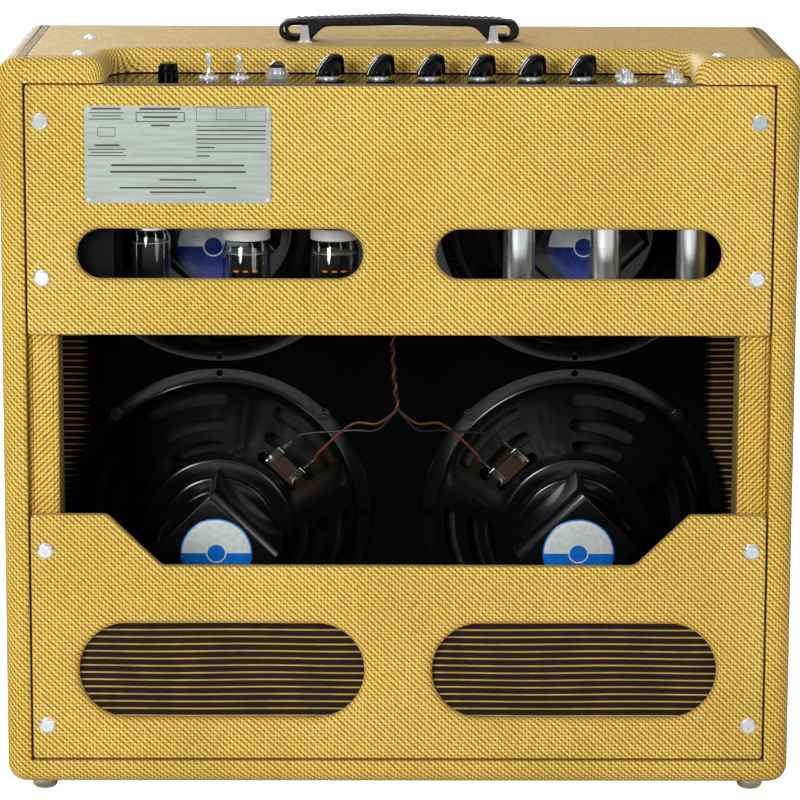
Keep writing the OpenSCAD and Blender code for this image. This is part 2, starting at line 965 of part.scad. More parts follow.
// Yoke bent from bar around a magnet, and the magnet as its own solid
module magnet_assembly(side) {
    half = 37;
    bar = 8;
    low = plateau_z + 4;
    rotate([0, 0, side * 45]) {
        translate([-half, -half, speaker_depth - bar]) cube([2 * half, 2 * half, bar]);
        for (end = [0, 1])
            mirror([end, 0, 0])
                translate([half - bar, -half, low]) cube([bar, 2 * half, speaker_depth - bar - low + eps]);
        translate([-half, -half, low])
            difference() {
                cube([2 * half, 2 * half, 7]);
                translate([half, half, -1]) cylinder(r = 20.5, h = 9);
            }
    }
    translate([0, 0, low + 8]) cylinder(r = 24, h = speaker_depth - bar - low - 8 - eps);
    translate([0, 0, low - 6]) cylinder(r = 16, h = 14 - eps);
}

module speaker_magnets() color("#15181a") {
    for (side = [-1, 1], row = [0, 1])
        speaker_at(side, row) magnet_assembly(side);
}

// Paper cone with its edge clear of the flange, and the coil former behind it
module cone() {
    rotate_extrude($fn = 96)
        polygon([
            [103, 0], [104, 1], [24, 42], [18.6, 42], [18.6, 56], [17.8, 56], [17.8, 41],
            [23.6, 41],
        ]);
}

module upper_left_cone() color("#6b5a4c") speaker_at(1, 1) cone();

module upper_right_cone() color("#6b5a4c") speaker_at(-1, 1) cone();

module lower_left_cone() color("#6b5a4c") speaker_at(1, 0) cone();

module lower_right_cone() color("#6b5a4c") speaker_at(-1, 0) cone();

module speaker_bolts() color("silver") {
    each_speaker()
        each_speaker_bolt() {
            translate([0, 0, -baffle_t]) cylinder(r = speaker_bolt_r, h = baffle_t + flange_t + 6);
            translate([0, 0, flange_t]) cylinder(r = 5, h = 3.4, $fn = 6);
        }
}

// Place of a terminal pair on the frame, towards the middle of the cabinet
module each_terminal() {
    for (side = [-1, 1], row = [0, 1])
        speaker_at(side, row)
            rotate([0, 0, terminal_turn(side)])
                translate([terminal_r, 0, terminal_z]) children();
}

module speaker_terminals() color("burlywood") {
    each_terminal() {
        translate([-6, -14, 3]) cube([13, 28, 1.6]);
        for (side = [-1, 1])
            translate([0, side * 12 - 2, 4.6]) cube([16, 4, 1]);
    }
}

// One straight run of wire between two points
module wire(from, to, r) {
    run = to - from;
    flat = norm([run[0], run[1]]);
    translate(from)
        rotate([0, atan2(flat, run[2]), atan2(run[1], run[0])])
            cylinder(r = r, h = norm(run));
}

// Twisted pair from the chassis that parts for the two lower loudspeakers
module speaker_wires() color("saddlebrown") {
    meet = [0, rear(150), up(266)];
    wire(meet, [0, rear(150), up(440)], 2.2);
    translate(meet) sphere(r = 2.6);
    for (side = [-1, 1]) {
        bend = [side * 46, rear(162), up(252)];
        wire(meet, bend, 1.8);
        wire(bend, [side * 62, rear(170), up(240)], 1.8);
        translate(bend) sphere(r = 2.1);
    }
}

cabinet_top();
cabinet_bottom();
cabinet_side_left();
cabinet_side_right();
back_cleats();
upper_back_panel();
lower_back_panel();
panel_screws();
panel_washers();
rear_grille_cloth();
nameplate();
nameplate_rivets();
feet();
foot_screws();
handle_strap();
handle_brackets();
handle_screws();
chassis();
chassis_bolts();
fuse_holder();
fuse_cap();
fuse();
toggle_switch_bodies();
standby_lever();
power_lever();
panel_nuts();
pilot_lamp_holder();
pilot_jewel();
potentiometers();
presence_knob();
middle_knob();
bass_knob();
treble_knob();
bright_volume_knob();
normal_volume_knob();
input_jacks();
tube_sockets();
rectifier_tube();
power_tubes();
preamp_tubes();
tube_shields();
tube_clamps();
power_transformer();
output_transformer();
choke();
component_board();
board_components();
baffle_board();
front_grille_cloth();
front_rails();
baffle_battens();
speaker_baskets();
speaker_magnets();
upper_left_cone();
upper_right_cone();
lower_left_cone();
lower_right_cone();
speaker_bolts();
speaker_terminals();
speaker_wires();
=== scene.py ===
import json
import math

import bmesh
import bpy
from mathutils import Matrix, Vector, geometry


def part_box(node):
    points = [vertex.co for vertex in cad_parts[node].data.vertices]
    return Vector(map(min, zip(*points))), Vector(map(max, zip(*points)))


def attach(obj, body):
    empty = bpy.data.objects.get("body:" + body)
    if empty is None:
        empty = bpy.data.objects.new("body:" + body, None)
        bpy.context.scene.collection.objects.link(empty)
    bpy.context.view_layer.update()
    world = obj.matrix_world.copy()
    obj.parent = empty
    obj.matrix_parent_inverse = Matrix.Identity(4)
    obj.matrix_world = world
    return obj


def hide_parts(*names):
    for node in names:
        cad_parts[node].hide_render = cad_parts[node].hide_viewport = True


# Looks of the guitar amplifier. Shapes are worked out in millimetres in the row frame, and piece() turns them into metres.
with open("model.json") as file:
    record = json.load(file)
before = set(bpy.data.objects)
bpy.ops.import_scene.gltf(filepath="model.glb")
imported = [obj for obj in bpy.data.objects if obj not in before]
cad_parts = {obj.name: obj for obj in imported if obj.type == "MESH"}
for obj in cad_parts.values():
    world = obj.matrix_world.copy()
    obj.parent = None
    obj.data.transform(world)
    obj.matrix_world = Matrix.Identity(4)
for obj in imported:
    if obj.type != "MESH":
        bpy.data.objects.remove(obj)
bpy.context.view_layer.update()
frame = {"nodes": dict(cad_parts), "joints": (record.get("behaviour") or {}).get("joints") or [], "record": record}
MM = 0.001
TURN = 2 * math.pi
scene = bpy.context.scene


def corners(node):
    """Lowest and highest corner of a CAD node in millimetres."""
    low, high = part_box(node)
    return low / MM, high / MM


# ---- Sizes read from the frame ----

TOP_LOW, TOP_HIGH = corners("cabinet_top")
FLOOR_BOARD_LOW, FLOOR_BOARD_HIGH = corners("cabinet_bottom")
HALF_W = TOP_HIGH.x
HALF_D = TOP_HIGH.y
BOARD = TOP_HIGH.z - TOP_LOW.z
CASE_LOW = FLOOR_BOARD_LOW.z
CASE_HIGH = TOP_HIGH.z
MIDDLE_Z = (CASE_LOW + CASE_HIGH) / 2
HALF_H = (CASE_HIGH - CASE_LOW) / 2
INNER_W = HALF_W - BOARD
PANEL_TOP = CASE_HIGH - BOARD

# Sizes that the covering adds
EDGE = 14
SEAM_X = 280
TURN_IN = 30
THREAD_W = 1.29
THREAD_H = 1.20
ROUND_STEPS = 6


# ---- Shapes ----

class Shape:
    """Points, faces, a material number for each face, and the flat cloth place of each point."""

    def __init__(self):
        self.points = []
        self.faces = []
        self.slots = []
        self.cloth = []

    def add(self, points, faces, slot=0, cloth=None):
        base = len(self.points)
        self.points += [Vector(p) for p in points]
        self.cloth += cloth or [(0.0, 0.0)] * len(points)
        self.faces += [tuple(base + i for i in face) for face in faces]
        self.slots += slot if isinstance(slot, list) else [slot] * len(faces)
        return self

    def join(self, other, matrix=None, slot=None):
        move = matrix or Matrix.Identity(4)
        points = [move @ p for p in other.points]
        return self.add(points, other.faces, [slot] * len(other.faces) if slot is not None else other.slots, other.cloth)


def spin(x=0.0, y=0.0, z=0.0):
    """Rotation by degrees about x, then y, then z."""
    return (Matrix.Rotation(math.radians(z), 4, "Z") @ Matrix.Rotation(math.radians(y), 4, "Y")
            @ Matrix.Rotation(math.radians(x), 4, "X"))


def shift(x, y, z):
    return Matrix.Translation((x, y, z))


def outline(*turns):
    """Closed outline with the material on its left. Each turn is (a, b, corner radius, edge radius).
    Gives a list of (point, outward direction, edge radius)."""
    track = []
    for i, (a, b, radius, edge) in enumerate(turns):
        here = Vector((a, b))
        arrive = (here - Vector(turns[i - 1][:2])).normalized()
        leave = (Vector(turns[(i + 1) % len(turns)][:2]) - here).normalized()
        bend = math.atan2(arrive.cross(leave), arrive.dot(leave))
        out = Vector((arrive.y, -arrive.x))
        if radius == 0 or abs(bend) < 1e-4:
            mitre = Matrix.Rotation(bend / 2, 2) @ out
            track.append((here, mitre / math.cos(bend / 2), edge))
            continue
        side = 1 if bend > 0 else -1
        centre = here - arrive * radius * math.tan(abs(bend) / 2) - out * radius * side
        steps = max(3, int(abs(bend) * math.sqrt(radius) * 1.8) + 1)
        for k in range(steps + 1):
            n = Matrix.Rotation(bend * k / steps, 2) @ out
            track.append((centre + n * radius * side, n, edge))
    return track


def box_outline(a, b, width, height, radius, edge, hole=False):
    """Round-cornered rectangle about (a, b)."""
    places = [(a - width / 2, b - height / 2), (a + width / 2, b - height / 2),
              (a + width / 2, b + height / 2), (a - width / 2, b + height / 2)]
    if hole:
        places.reverse()
    return outline(*[(p[0], p[1], radius, edge) for p in places])


def slab(loops, thickness, place, back_edge=1.0, skin=0, back=0, lip=1.2):
    """Flat piece with round edges, its face at h = 0 and its back at h = -thickness. loops[0] is its outline, the rest
    are holes. place(a, b, h) gives the point. The cloth place of a point is where it lies with the covering unfolded."""
    shape = Shape()
    rims = []
    for loop in loops:
        rings = []
        for p, n, edge in loop:
            column = [(edge + lip, 0.0, -lip)]
            for k in range(ROUND_STEPS + 1):
                t = math.pi / 2 * k / ROUND_STEPS
                column.append((edge * (1 - math.sin(t)), edge * (1 - math.cos(t)), edge * t))
            run = edge * math.pi / 2 - edge
            column.append((0.0, edge + 0.5, run + edge + 0.5))
            if back_edge:
                for k in range(4):
                    t = math.pi / 2 * k / 3
                    drop = thickness - back_edge + back_edge * math.sin(t)
                    column.append((back_edge * (1 - math.cos(t)), drop, run + drop))
                column.append((back_edge + 0.8, thickness, run + thickness + 1))
            else:
                column.append((0.0, thickness, run + thickness))
            rings.append([(p - n * inset, drop, p - n * edge + n * unfold) for inset, drop, unfold in column])
        depth = len(rings[0])
        count = len(rings)
        points = [place(q.x, q.y, -drop) for ring in rings for q, drop, _ in ring]
        cloth = [(flat.x, flat.y) for ring in rings for _, _, flat in ring]
        faces = []
        for i in range(count):
            j = (i + 1) % count
            faces += [(i * depth + k, i * depth + k + 1, j * depth + k + 1, j * depth + k) for k in range(depth - 1)]
        base = len(shape.points)
        shape.add(points, faces, skin, cloth)
        rims.append((base, depth, rings))
    for end, slot in ((0, skin), (-1, back)):
        chains = [[Vector((ring[end][0].x, ring[end][0].y, 0)) for ring in rings] for _, _, rings in rims]
        index = [base + i * depth + end % depth for base, depth, rings in rims for i in range(len(rings))]
        for triangle in geometry.tessellate_polygon(chains):
            shape.faces.append(tuple(index[i] for i in triangle))
            shape.slots.append(slot)
    return shape


def lathe(profile, segments=48, slot=0, span=None):
    """Turns (radius, height) points about z. A profile that starts and ends at radius 0 is closed there, and any other
    profile joins its last point to its first."""
    solid = profile[0][0] == 0 and profile[-1][0] == 0
    points = []
    rows = []
    for r, z in profile:
        if r == 0:
            rows.append([len(points)] * segments)
            points.append((0, 0, z))
        else:
            rows.append(list(range(len(points), len(points) + segments)))
            points += [(r * math.cos(TURN * i / segments), r * math.sin(TURN * i / segments), z) for i in range(segments)]
    faces = []
    pairs = list(zip(rows, rows[1:])) + ([] if solid else [(rows[-1], rows[0])])
    for low, high in pairs:
        for i in range(segments):
            j = (i + 1) % segments
            face = [low[i], low[j], high[j], high[i]]
            faces.append(tuple(dict.fromkeys(face)))
    return Shape().add(points, faces, slot)


def tube(path, radius, sides=10, slot=0, closed=False):
    """Round bar along a path of points."""
    path = [Vector(p) for p in path]
    count = len(path)
    points = []
    side = None
    for i, p in enumerate(path):
        ahead = path[(i + 1) % count] if closed else path[min(i + 1, count - 1)]
        behind = path[i - 1] if closed or i else p
        along = (ahead - behind).normalized()
        side = (side or along.orthogonal())
        side = (side - along * side.dot(along)).normalized()
        up = along.cross(side)
        points += [p + radius * (side * math.cos(TURN * k / sides) + up * math.sin(TURN * k / sides)) for k in range(sides)]
    faces = []
    for i in range(count if closed else count - 1):
        j = (i + 1) % count
        faces += [(i * sides + k, i * sides + (k + 1) % sides, j * sides + (k + 1) % sides, j * sides + k)
                  for k in range(sides)]
    if not closed:
        faces += [tuple(reversed(range(sides))), tuple(range((count - 1) * sides, count * sides))]
    return Shape().add(points, faces, slot)


def curve_through(knots, steps=10):
    """Smooth path through the knots."""
    knots = [Vector(k) for k in knots]
    ends = [knots[0] * 2 - knots[1]] + knots + [knots[-1] * 2 - knots[-2]]
    path = []
    for i in range(1, len(ends) - 2):
        a, b, c, d = ends[i - 1:i + 3]
        for k in range(steps):
            t = k / steps
            path.append(0.5 * (2 * b + (c - a) * t + (2 * a - 5 * b + 4 * c - d) * t * t + (3 * b - a - 3 * c + d) * t ** 3))
    return path + [knots[-1]]


def mesh_of(name, shape, materials, sharp=35):
    """Mesh in metres, with outward faces, smooth but for edges sharper than the given angle."""
    mesh = bpy.data.meshes.new(name)
    mesh.from_pydata([p * MM for p in shape.points], [], shape.faces)
    for i, slot in enumerate(shape.slots):
        mesh.polygons[i].material_index = slot
    for material in materials:
        mesh.materials.append(material)
    layer = mesh.uv_layers.new(name="weave")
    cloth = shape.cloth
    for loop in mesh.loops:
        u, v = cloth[loop.vertex_index]
        layer.data[loop.index].uv = (u * MM, v * MM)
    tidy = bmesh.new()
    tidy.from_mesh(mesh)
    bmesh.ops.recalc_face_normals(tidy, faces=tidy.faces)
    tidy.to_mesh(mesh)
    tidy.free()
    mesh.shade_smooth()
    mesh.set_sharp_from_angle(angle=math.radians(sharp))
    return mesh


def place_mesh(name, mesh, stands_for=(), body="cabinet", matrix=None):
    """Puts a mesh into the scene as a piece that rides on a CAD body."""
    item = bpy.data.objects.new(name, mesh)
    scene.collection.objects.link(item)
    if matrix:
        item.matrix_world = matrix
    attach(item, body)
    if stands_for:
        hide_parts(*stands_for)
    return item


def piece(name, shape, materials, stands_for=(), body="cabinet", sharp=35):
    return place_mesh(name, mesh_of(name, shape, materials, sharp), stands_for, body)


# ---- Materials ----

def srgb(red, green, blue):
    """Screen colour, 0 to 255, as the linear colour that nodes take."""
    parts = [c / 255 for c in (red, green, blue)]
    return tuple(c / 12.92 if c <= 0.04045 else ((c + 0.055) / 1.055) ** 2.4 for c in parts) + (1.0,)


def shaded(colour, factor):
    return tuple(c * factor for c in colour[:3]) + (1,)


class Graph:
    """Short calls that build a node material around a principled shader."""

    def __init__(self, name):
        self.material = bpy.data.materials.new(name)
        self.material.use_nodes = True
        self.tree = self.material.node_tree
        self.shader = self.tree.nodes["Principled BSDF"]
        self.place = self.add("TexCoord").outputs["Object"]

    def add(self, kind, *inputs, **settings):
        node = self.tree.nodes.new("ShaderNode" + kind)
        for key, value in settings.items():
            setattr(node, key, value)
        for socket, value in zip(node.inputs, inputs):
            self.put(socket, value)
        return node

    def put(self, socket, value):
        if isinstance(value, bpy.types.NodeSocket):
            self.tree.links.new(value, socket)
        elif value is not None:
            socket.default_value = value

    def sum(self, operation, *values):
        return self.add("Math", *values, operation=operation).outputs[0]

    def ease(self, value, start, end, low=0.0, high=1.0):
        """Smooth step of a value from low to high between start and end."""
        return self.add("MapRange", value, start, end, low, high, interpolation_type="SMOOTHSTEP").outputs[0]

    def mix(self, factor, first, second, blend="MIX"):
        node = self.add("Mix", data_type="RGBA", blend_type=blend)
        for index, value in ((0, factor), (6, first), (7, second)):
            self.put(node.inputs[index], value)
        return node.outputs[2]

    def noise(self, scale, detail=3.0, rough=0.5, stretch=None):
        place = self.place
        if stretch:
            place = self.add("Mapping", place, None, None, stretch).outputs[0]
        return self.add("TexNoise", place, None, scale, detail, rough).outputs[0]

    def set(self, **values):
        for name, value in values.items():
            self.put(self.shader.inputs[name.replace("_", " ")], value)
        return self.material

    def bump(self, height, strength=0.5, distance=0.2 * MM):
        node = self.add("Bump")
        for name, value in (("Strength", strength), ("Distance", distance), ("Height", height)):
            self.put(node.inputs[name], value)
        self.put(self.shader.inputs["Normal"], node.outputs[0])


def finish(name, colour, rough, metal=0.0, vary=0.12, grain=400, relief=0.15, stretch=None, **more):
    """Solid material with uneven colour, uneven gloss and a fine grain. more sets other shader inputs."""
    g = Graph(name)
    broad = g.noise(28, 4, stretch=stretch)
    fine = g.noise(grain, 4, 0.6, stretch=stretch)
    dark = tuple(c * (1 - vary) for c in colour[:3]) + (1,)
    light = tuple(min(1.0, c * (1 + vary)) for c in colour[:3]) + (1,)
    tone = g.ease(g.sum("ADD", g.sum("MULTIPLY", broad, 0.7), g.sum("MULTIPLY", fine, 0.3)), 0.35, 0.65)
    g.bump(fine, relief, 0.15 * MM)
    return g.set(Base_Color=g.mix(tone, dark, light), Metallic=metal, **more,
                 Roughness=g.ease(broad, 0.3, 0.7, rough * 0.85, rough * 1.15))


def tweed_cloth(name, gold, dark, painted_grazing_sheen):
    """Twill of gold warp floats over dark weft, in lines that fall to the right, under clear lacquer. The last colour
    is the one it takes where it is seen nearly along its surface: a painted sheen, not a colour of the cloth."""
    g = Graph(name)
    flat = g.add("SeparateXYZ", g.add("UVMap", uv_map="weave").outputs[0])
    wander = g.sum("MULTIPLY", g.sum("SUBTRACT", g.noise(35, 2), 0.5), 0.6)
    across = g.sum("ADD", g.sum("DIVIDE", flat.outputs[0], THREAD_W * MM), wander)
    up = g.sum("ADD", g.sum("DIVIDE", flat.outputs[1], THREAD_H * MM), wander)
    slub = g.noise(900, 3, 0.6, stretch=(1, 1, 0.25))
    phase = g.sum("FRACT", g.sum("DIVIDE", g.sum("ADD", across, up), 4.0))
    jitter = g.sum("MULTIPLY", g.sum("SUBTRACT", slub, 0.5), 0.16)
    reach = g.sum("ADD", g.sum("ABSOLUTE", g.sum("SUBTRACT", phase, 0.5)), jitter)
    on_top = g.ease(reach, 0.23, 0.42, 1.0, 0.0)
    # Painted light on the threads: each warp thread and float is lighter on its crown and bead (painted highlight) and
    # falls to the deep colour at its edges (painted shade); the weft beads lift to the pale colour, a painted
    # highlight. The bead is also the relief of the bump.
    bead_x = g.sum("ABSOLUTE", g.sum("SUBTRACT", g.sum("FRACT", g.sum("DIVIDE", across, 2.0)), 0.5))
    bead_y = g.sum("ABSOLUTE", g.sum("SUBTRACT", g.sum("FRACT", g.sum("DIVIDE", up, 2.0)), 0.5))
    bead = g.ease(g.sum("ADD", bead_x, bead_y), 0.2, 0.62, 1.0, 0.0)
    crown = g.ease(g.sum("ABSOLUTE", g.sum("SUBTRACT", g.sum("FRACT", across), 0.5)), 0.15, 0.5, 1.0, 0.0)
    painted_thread_shine = g.sum("MULTIPLY", g.sum("ADD", g.sum("MULTIPLY", crown, 0.25), g.sum("MULTIPLY", bead, 0.85)),
                  g.ease(slub, 0.3, 0.7, 0.6, 1.25))
    deep = tuple(c * k for c, k in zip(gold[:3], (0.56, 0.46, 0.20))) + (1,)
    pale = tuple(d * 0.3 + c * k for c, d, k in zip(gold[:3], dark[:3], (0.66, 0.6, 0.4))) + (1,)
    warp = g.mix(painted_thread_shine, deep, gold)
    weft = g.mix(g.sum("MULTIPLY", bead, g.ease(slub, 0.4, 0.6)), dark, pale)
    cloth = g.mix(on_top, weft, warp)
    patchy = g.ease(g.noise(9, 4, 0.55), 0.3, 0.7, 0.92, 1.06)
    tone = g.add("CombineXYZ", patchy, patchy, g.sum("MULTIPLY", patchy, patchy)).outputs[0]
    # Painted sheen: towards grazing views the colour turns to the grazing colour, whatever the light.
    painted_sheen_mask = g.ease(g.add("LayerWeight", 0.5).outputs[1], 0.72, 0.9)
    speck = g.sum("MULTIPLY", g.ease(slub, 0.3, 0.7, 0.88, 1.1), g.ease(g.noise(240, 4, 0.7), 0.35, 0.65, 0.84, 1.14))
    mottle = g.add("CombineXYZ", speck, speck, speck).outputs[0]
    colour = g.mix(painted_sheen_mask, g.mix(1.0, cloth, tone, "MULTIPLY"), g.mix(1.0, painted_grazing_sheen, mottle, "MULTIPLY"))
    height = g.sum("MULTIPLY", g.sum("ADD", g.sum("MULTIPLY", bead, 0.5), 0.5), on_top)
    g.bump(height, 0.5, 0.35 * MM)
    return g.set(Base_Color=colour, Roughness=g.ease(slub, 0.3, 0.7, 0.45, 0.65), Specular_IOR_Level=0.18)


def cord_cloth(name, ground, cord, pitch, share):
    """Plain woven cloth with a raised cord every pitch millimetres."""
    g = Graph(name)
    flat = g.add("SeparateXYZ", g.add("UVMap", uv_map="weave").outputs[0])
    row = g.sum("DIVIDE", flat.outputs[1], pitch * MM)
    beside = g.sum("ABSOLUTE", g.sum("SUBTRACT", g.sum("FRACT", row), 0.5))
    on_cord = g.ease(beside, share, share * 0.7, 0.0, 1.0)
    plait = g.sum("SINE", g.sum("DIVIDE", flat.outputs[0], 0.22 * MM))
    weave = g.sum("MULTIPLY", g.sum("SINE", g.sum("DIVIDE", flat.outputs[0], 0.16 * MM)),
                  g.sum("SINE", g.sum("DIVIDE", flat.outputs[1], 0.16 * MM)))
    fade = g.ease(g.noise(40, 3), 0.3, 0.7, 0.75, 1.15)
    tone = g.add("CombineXYZ", fade, fade, fade).outputs[0]
    dim = tuple(c * 0.55 for c in cord[:3]) + (1,)
    deep = tuple(c * 0.5 for c in ground[:3]) + (1,)
    thread = g.mix(g.ease(plait, -1, 1), dim, cord)
    base = g.mix(g.ease(weave, -1, 1), deep, ground)
    g.bump(g.sum("ADD", on_cord, g.sum("MULTIPLY", weave, 0.25)), 0.5, 0.3 * MM)
    return g.set(Base_Color=g.mix(1.0, g.mix(on_cord, base, thread), tone, "MULTIPLY"), Roughness=0.7,
                 Specular_IOR_Level=0.2)


# The last colour given to each tweed is its painted sheen at grazing views.
TWEED = tweed_cloth("lacquered_tweed", srgb(255, 230, 136), srgb(126, 76, 0), srgb(202, 172, 108))
# The sides, the cleats and the corners beyond the seams take this darker copy of the tweed, with a much darker grazing
# colour: painted shade on the sides.
SHADED_SIDE_TWEED = tweed_cloth("side_tweed_painted_shade", srgb(255, 225, 122), srgb(116, 70, 0), srgb(150, 127, 76))
INSIDE = finish("dark_inside", srgb(10, 9, 9), 0.8, grain=120, relief=0.3, stretch=(1, 1, 6), Specular_IOR_Level=0.06)
PINE = finish("bare_pine", srgb(196, 152, 98), 0.65, grain=90, relief=0.25, stretch=(8, 1, 8))
BAFFLE = finish("black_board", srgb(9, 11, 13), 0.85, grain=150, relief=0.3, Specular_IOR_Level=0.0)
GRILLE = cord_cloth("grille_cloth", srgb(34, 18, 12), srgb(214, 178, 100), 5.4, 0.13)
MIRROR = finish("chassis_chrome", srgb(180, 172, 164), 0.08, 1.0, vary=0.04, grain=700, relief=0.02,
                Specular_Tint=(0.5, 0.5, 0.5, 1))
CHROME = finish("chrome", srgb(240, 244, 246), 0.12, 0.72, vary=0.03, grain=700, relief=0.03)
SHIELD = finish("polished_shield", srgb(236, 240, 242), 0.27, 0.96, vary=0.05, grain=700, relief=0.05)
# Nuts and rivets: a half-metal near-white finish whose white diffuse part is a painted highlight for their bright
# reflections.
GLINT_WHITE_NUT = finish("nut_with_painted_glint", srgb(244, 247, 248), 0.2, 0.45, vary=0.04, grain=600, relief=0.05)
STEEL = finish("zinc_steel", srgb(176, 176, 172), 0.3, 1.0, vary=0.12, grain=500, relief=0.1)
DARK_STEEL = finish("dark_steel", srgb(92, 94, 96), 0.25, 1.0, vary=0.15, grain=500, relief=0.1)
BRUSHED = finish("brushed_plate", srgb(172, 182, 175), 0.42, 0.55, vary=0.08, grain=260, relief=0.12, stretch=(1, 1, 14))
INK = finish("printed_ink", srgb(62, 66, 66), 0.6, grain=800)
NICKEL = finish("worn_nickel", srgb(188, 180, 160), 0.25, 1.0, vary=0.18, grain=300, relief=0.1)
GLOSS_BLACK = finish("gloss_black_plastic", srgb(4, 5, 6), 0.16, vary=0.2, grain=900, relief=0.02, Specular_IOR_Level=0.13)
WHITE_LINE = finish("white_line", srgb(236, 236, 230), 0.45, vary=0.03, grain=800, relief=0.05)
THREAD = finish("stitch_thread", srgb(122, 130, 132), 0.6, grain=900, relief=0.4)
BASKET = finish("basket_paint", srgb(11, 14, 16), 0.2, vary=0.2, grain=260, relief=0.08, Coat_Weight=0.12)
YOKE = finish("yoke_paint", srgb(12, 15, 17), 0.24, vary=0.2, grain=500, relief=0.08, Coat_Weight=0.3)
TIN = finish("tinned_lug", srgb(206, 206, 198), 0.25, 1.0, vary=0.15, grain=500, relief=0.15)
BROWN_WIRE = finish("brown_wire", srgb(104, 54, 28), 0.5, grain=600, relief=0.2)
BLACK_WIRE = finish("black_wire", srgb(16, 15, 15), 0.45, grain=600, relief=0.2)
PHENOLIC = finish("phenolic", srgb(54, 34, 22), 0.45, grain=300, relief=0.2)
BAKELITE = finish("tube_base", srgb(22, 16, 14), 0.3, grain=300, relief=0.1)
ENAMEL = finish("white_band", srgb(232, 232, 226), 0.3, vary=0.04, grain=300, relief=0.05)
ORANGE = finish("orange_mark", srgb(240, 128, 24), 0.5, grain=800)
PLATE_GREY = finish("tube_plate", srgb(60, 62, 64), 0.35, 0.8, vary=0.2, grain=400, relief=0.2)
MICA = finish("mica", srgb(206, 200, 184), 0.35, vary=0.15, grain=500, relief=0.1)
IRON = finish("black_iron", srgb(11, 11, 12), 0.6, vary=0.2, grain=200, relief=0.2, Specular_IOR_Level=0.1)
FIBRE = finish("board_fibre", srgb(150, 112, 62), 0.7, grain=200, relief=0.3)
PAPER_CAP = finish("capacitor_sleeve", srgb(196, 168, 92), 0.45, grain=300, relief=0.1)


def leather(name):
    """Black leather with a pebbled grain."""
    g = Graph(name)
    pebble = g.add("TexVoronoi", g.place, None, 650).outputs[0]
    fine = g.noise(1500, 3)
    broad = g.noise(60, 4)
    g.bump(g.sum("ADD", g.ease(pebble, 0.0, 0.6), g.sum("MULTIPLY", fine, 0.3)), 0.45, 0.25 * MM)
    return g.set(Base_Color=g.mix(g.ease(broad, 0.35, 0.65), srgb(9, 10, 11), srgb(19, 21, 23)),
                 Roughness=g.ease(broad, 0.3, 0.7, 0.36, 0.5), Specular_IOR_Level=0.22)


def cone_paper(name):
    """Grey-brown pulp paper with flecks."""
    g = Graph(name)
    pulp = g.noise(260, 6, 0.7)
    fleck = g.ease(g.noise(900, 2), 0.62, 0.7)
    base = g.mix(g.ease(pulp, 0.3, 0.7), srgb(26, 23, 21), srgb(40, 36, 33))
    g.bump(pulp, 0.5, 0.4 * MM)
    return g.set(Base_Color=g.mix(fleck, base, srgb(58, 52, 46)), Roughness=0.85)


def glass(name, tint, rough=0.02):
    g = Graph(name)
    smear = g.noise(90, 4)
    return g.set(Base_Color=tint, Roughness=g.ease(smear, 0.4, 0.7, rough, rough + 0.06), Transmission_Weight=1.0, IOR=1.45)


def label_print(name, pale, deep):
    """Round two-tone label: light above, blue below, with a blue hub in a light ring. Up is -y of the label."""
    g = Graph(name)
    spot = g.add("SeparateXYZ", g.place)
    flat = g.add("CombineXYZ", spot.outputs[0], spot.outputs[1], 0.0).outputs[0]
    radius = g.add("VectorMath", flat, operation="LENGTH").outputs[1]
    soft = 0.15 * MM
    wear = g.noise(300, 4)
    light, blue = (g.mix(g.ease(wear, 0.3, 0.7), shaded(tone, 0.86), tone) for tone in (pale, deep))
    body = g.mix(g.ease(spot.outputs[1], -soft, soft), light, blue)
    ringed = g.mix(g.ease(radius, 8.0 * MM + soft, 8.0 * MM - soft), body, light)
    hub = g.mix(g.ease(radius, 7.0 * MM + soft, 7.0 * MM - soft), ringed, blue)
    edge = g.mix(g.ease(radius, 27.4 * MM - soft, 27.4 * MM + soft), hub, blue)
    return g.set(Base_Color=edge, Roughness=g.ease(wear, 0.3, 0.7, 0.25, 0.38), Coat_Weight=0.3)


LEATHER = leather("black_leather")
PAPER = cone_paper("cone_paper")
TUBE_GLASS = glass("tube_glass", srgb(244, 248, 248))
JEWEL = glass("amber_jewel", srgb(120, 58, 16), 0.05)
LABEL = label_print("loudspeaker_label", srgb(240, 248, 246), srgb(16, 124, 232))
# The upper loudspeakers get a darker copy of the same label print: painted shade for the dimmer light that reaches
# them.
SHADED_UPPER_LABEL = label_print("upper_loudspeaker_label_painted_shade", srgb(214, 226, 226), srgb(5, 40, 124))


# ---- Camera, light and floor ----

AMBIENT = 0.32
MIRRORED_LOW = 0.08
MIRRORED_HIGH = 0.6
KEY_WATTS = 81


def aim(item, place, ahead, roll=0.0):
    item.location = place
    turn = Vector(ahead).to_track_quat("-Z", "Y").to_matrix().to_4x4()
    item.rotation_euler = (turn @ Matrix.Rotation(roll, 4, "Z")).to_euler()


def make_camera():
    camera = bpy.data.objects.new("camera", bpy.data.cameras.new("camera"))
    scene.collection.objects.link(camera)
    camera.data.sensor_width = 36
    camera.data.lens = 182.41
    aim(camera, (0.0239, 3.1541, 0.8876), (-0.00799, -0.98233, -0.18699), math.radians(0.2))
    scene.camera = camera


def make_lamp(name, place, target, size, watts, tint=(1, 1, 1)):
    lamp = bpy.data.objects.new(name, bpy.data.lights.new(name, "AREA"))
    scene.collection.objects.link(lamp)
    lamp.data.shape = "DISK"
    lamp.data.size = size
    lamp.data.energy = watts
    lamp.data.color = tint
    aim(lamp, place, Vector(target) - Vector(place))


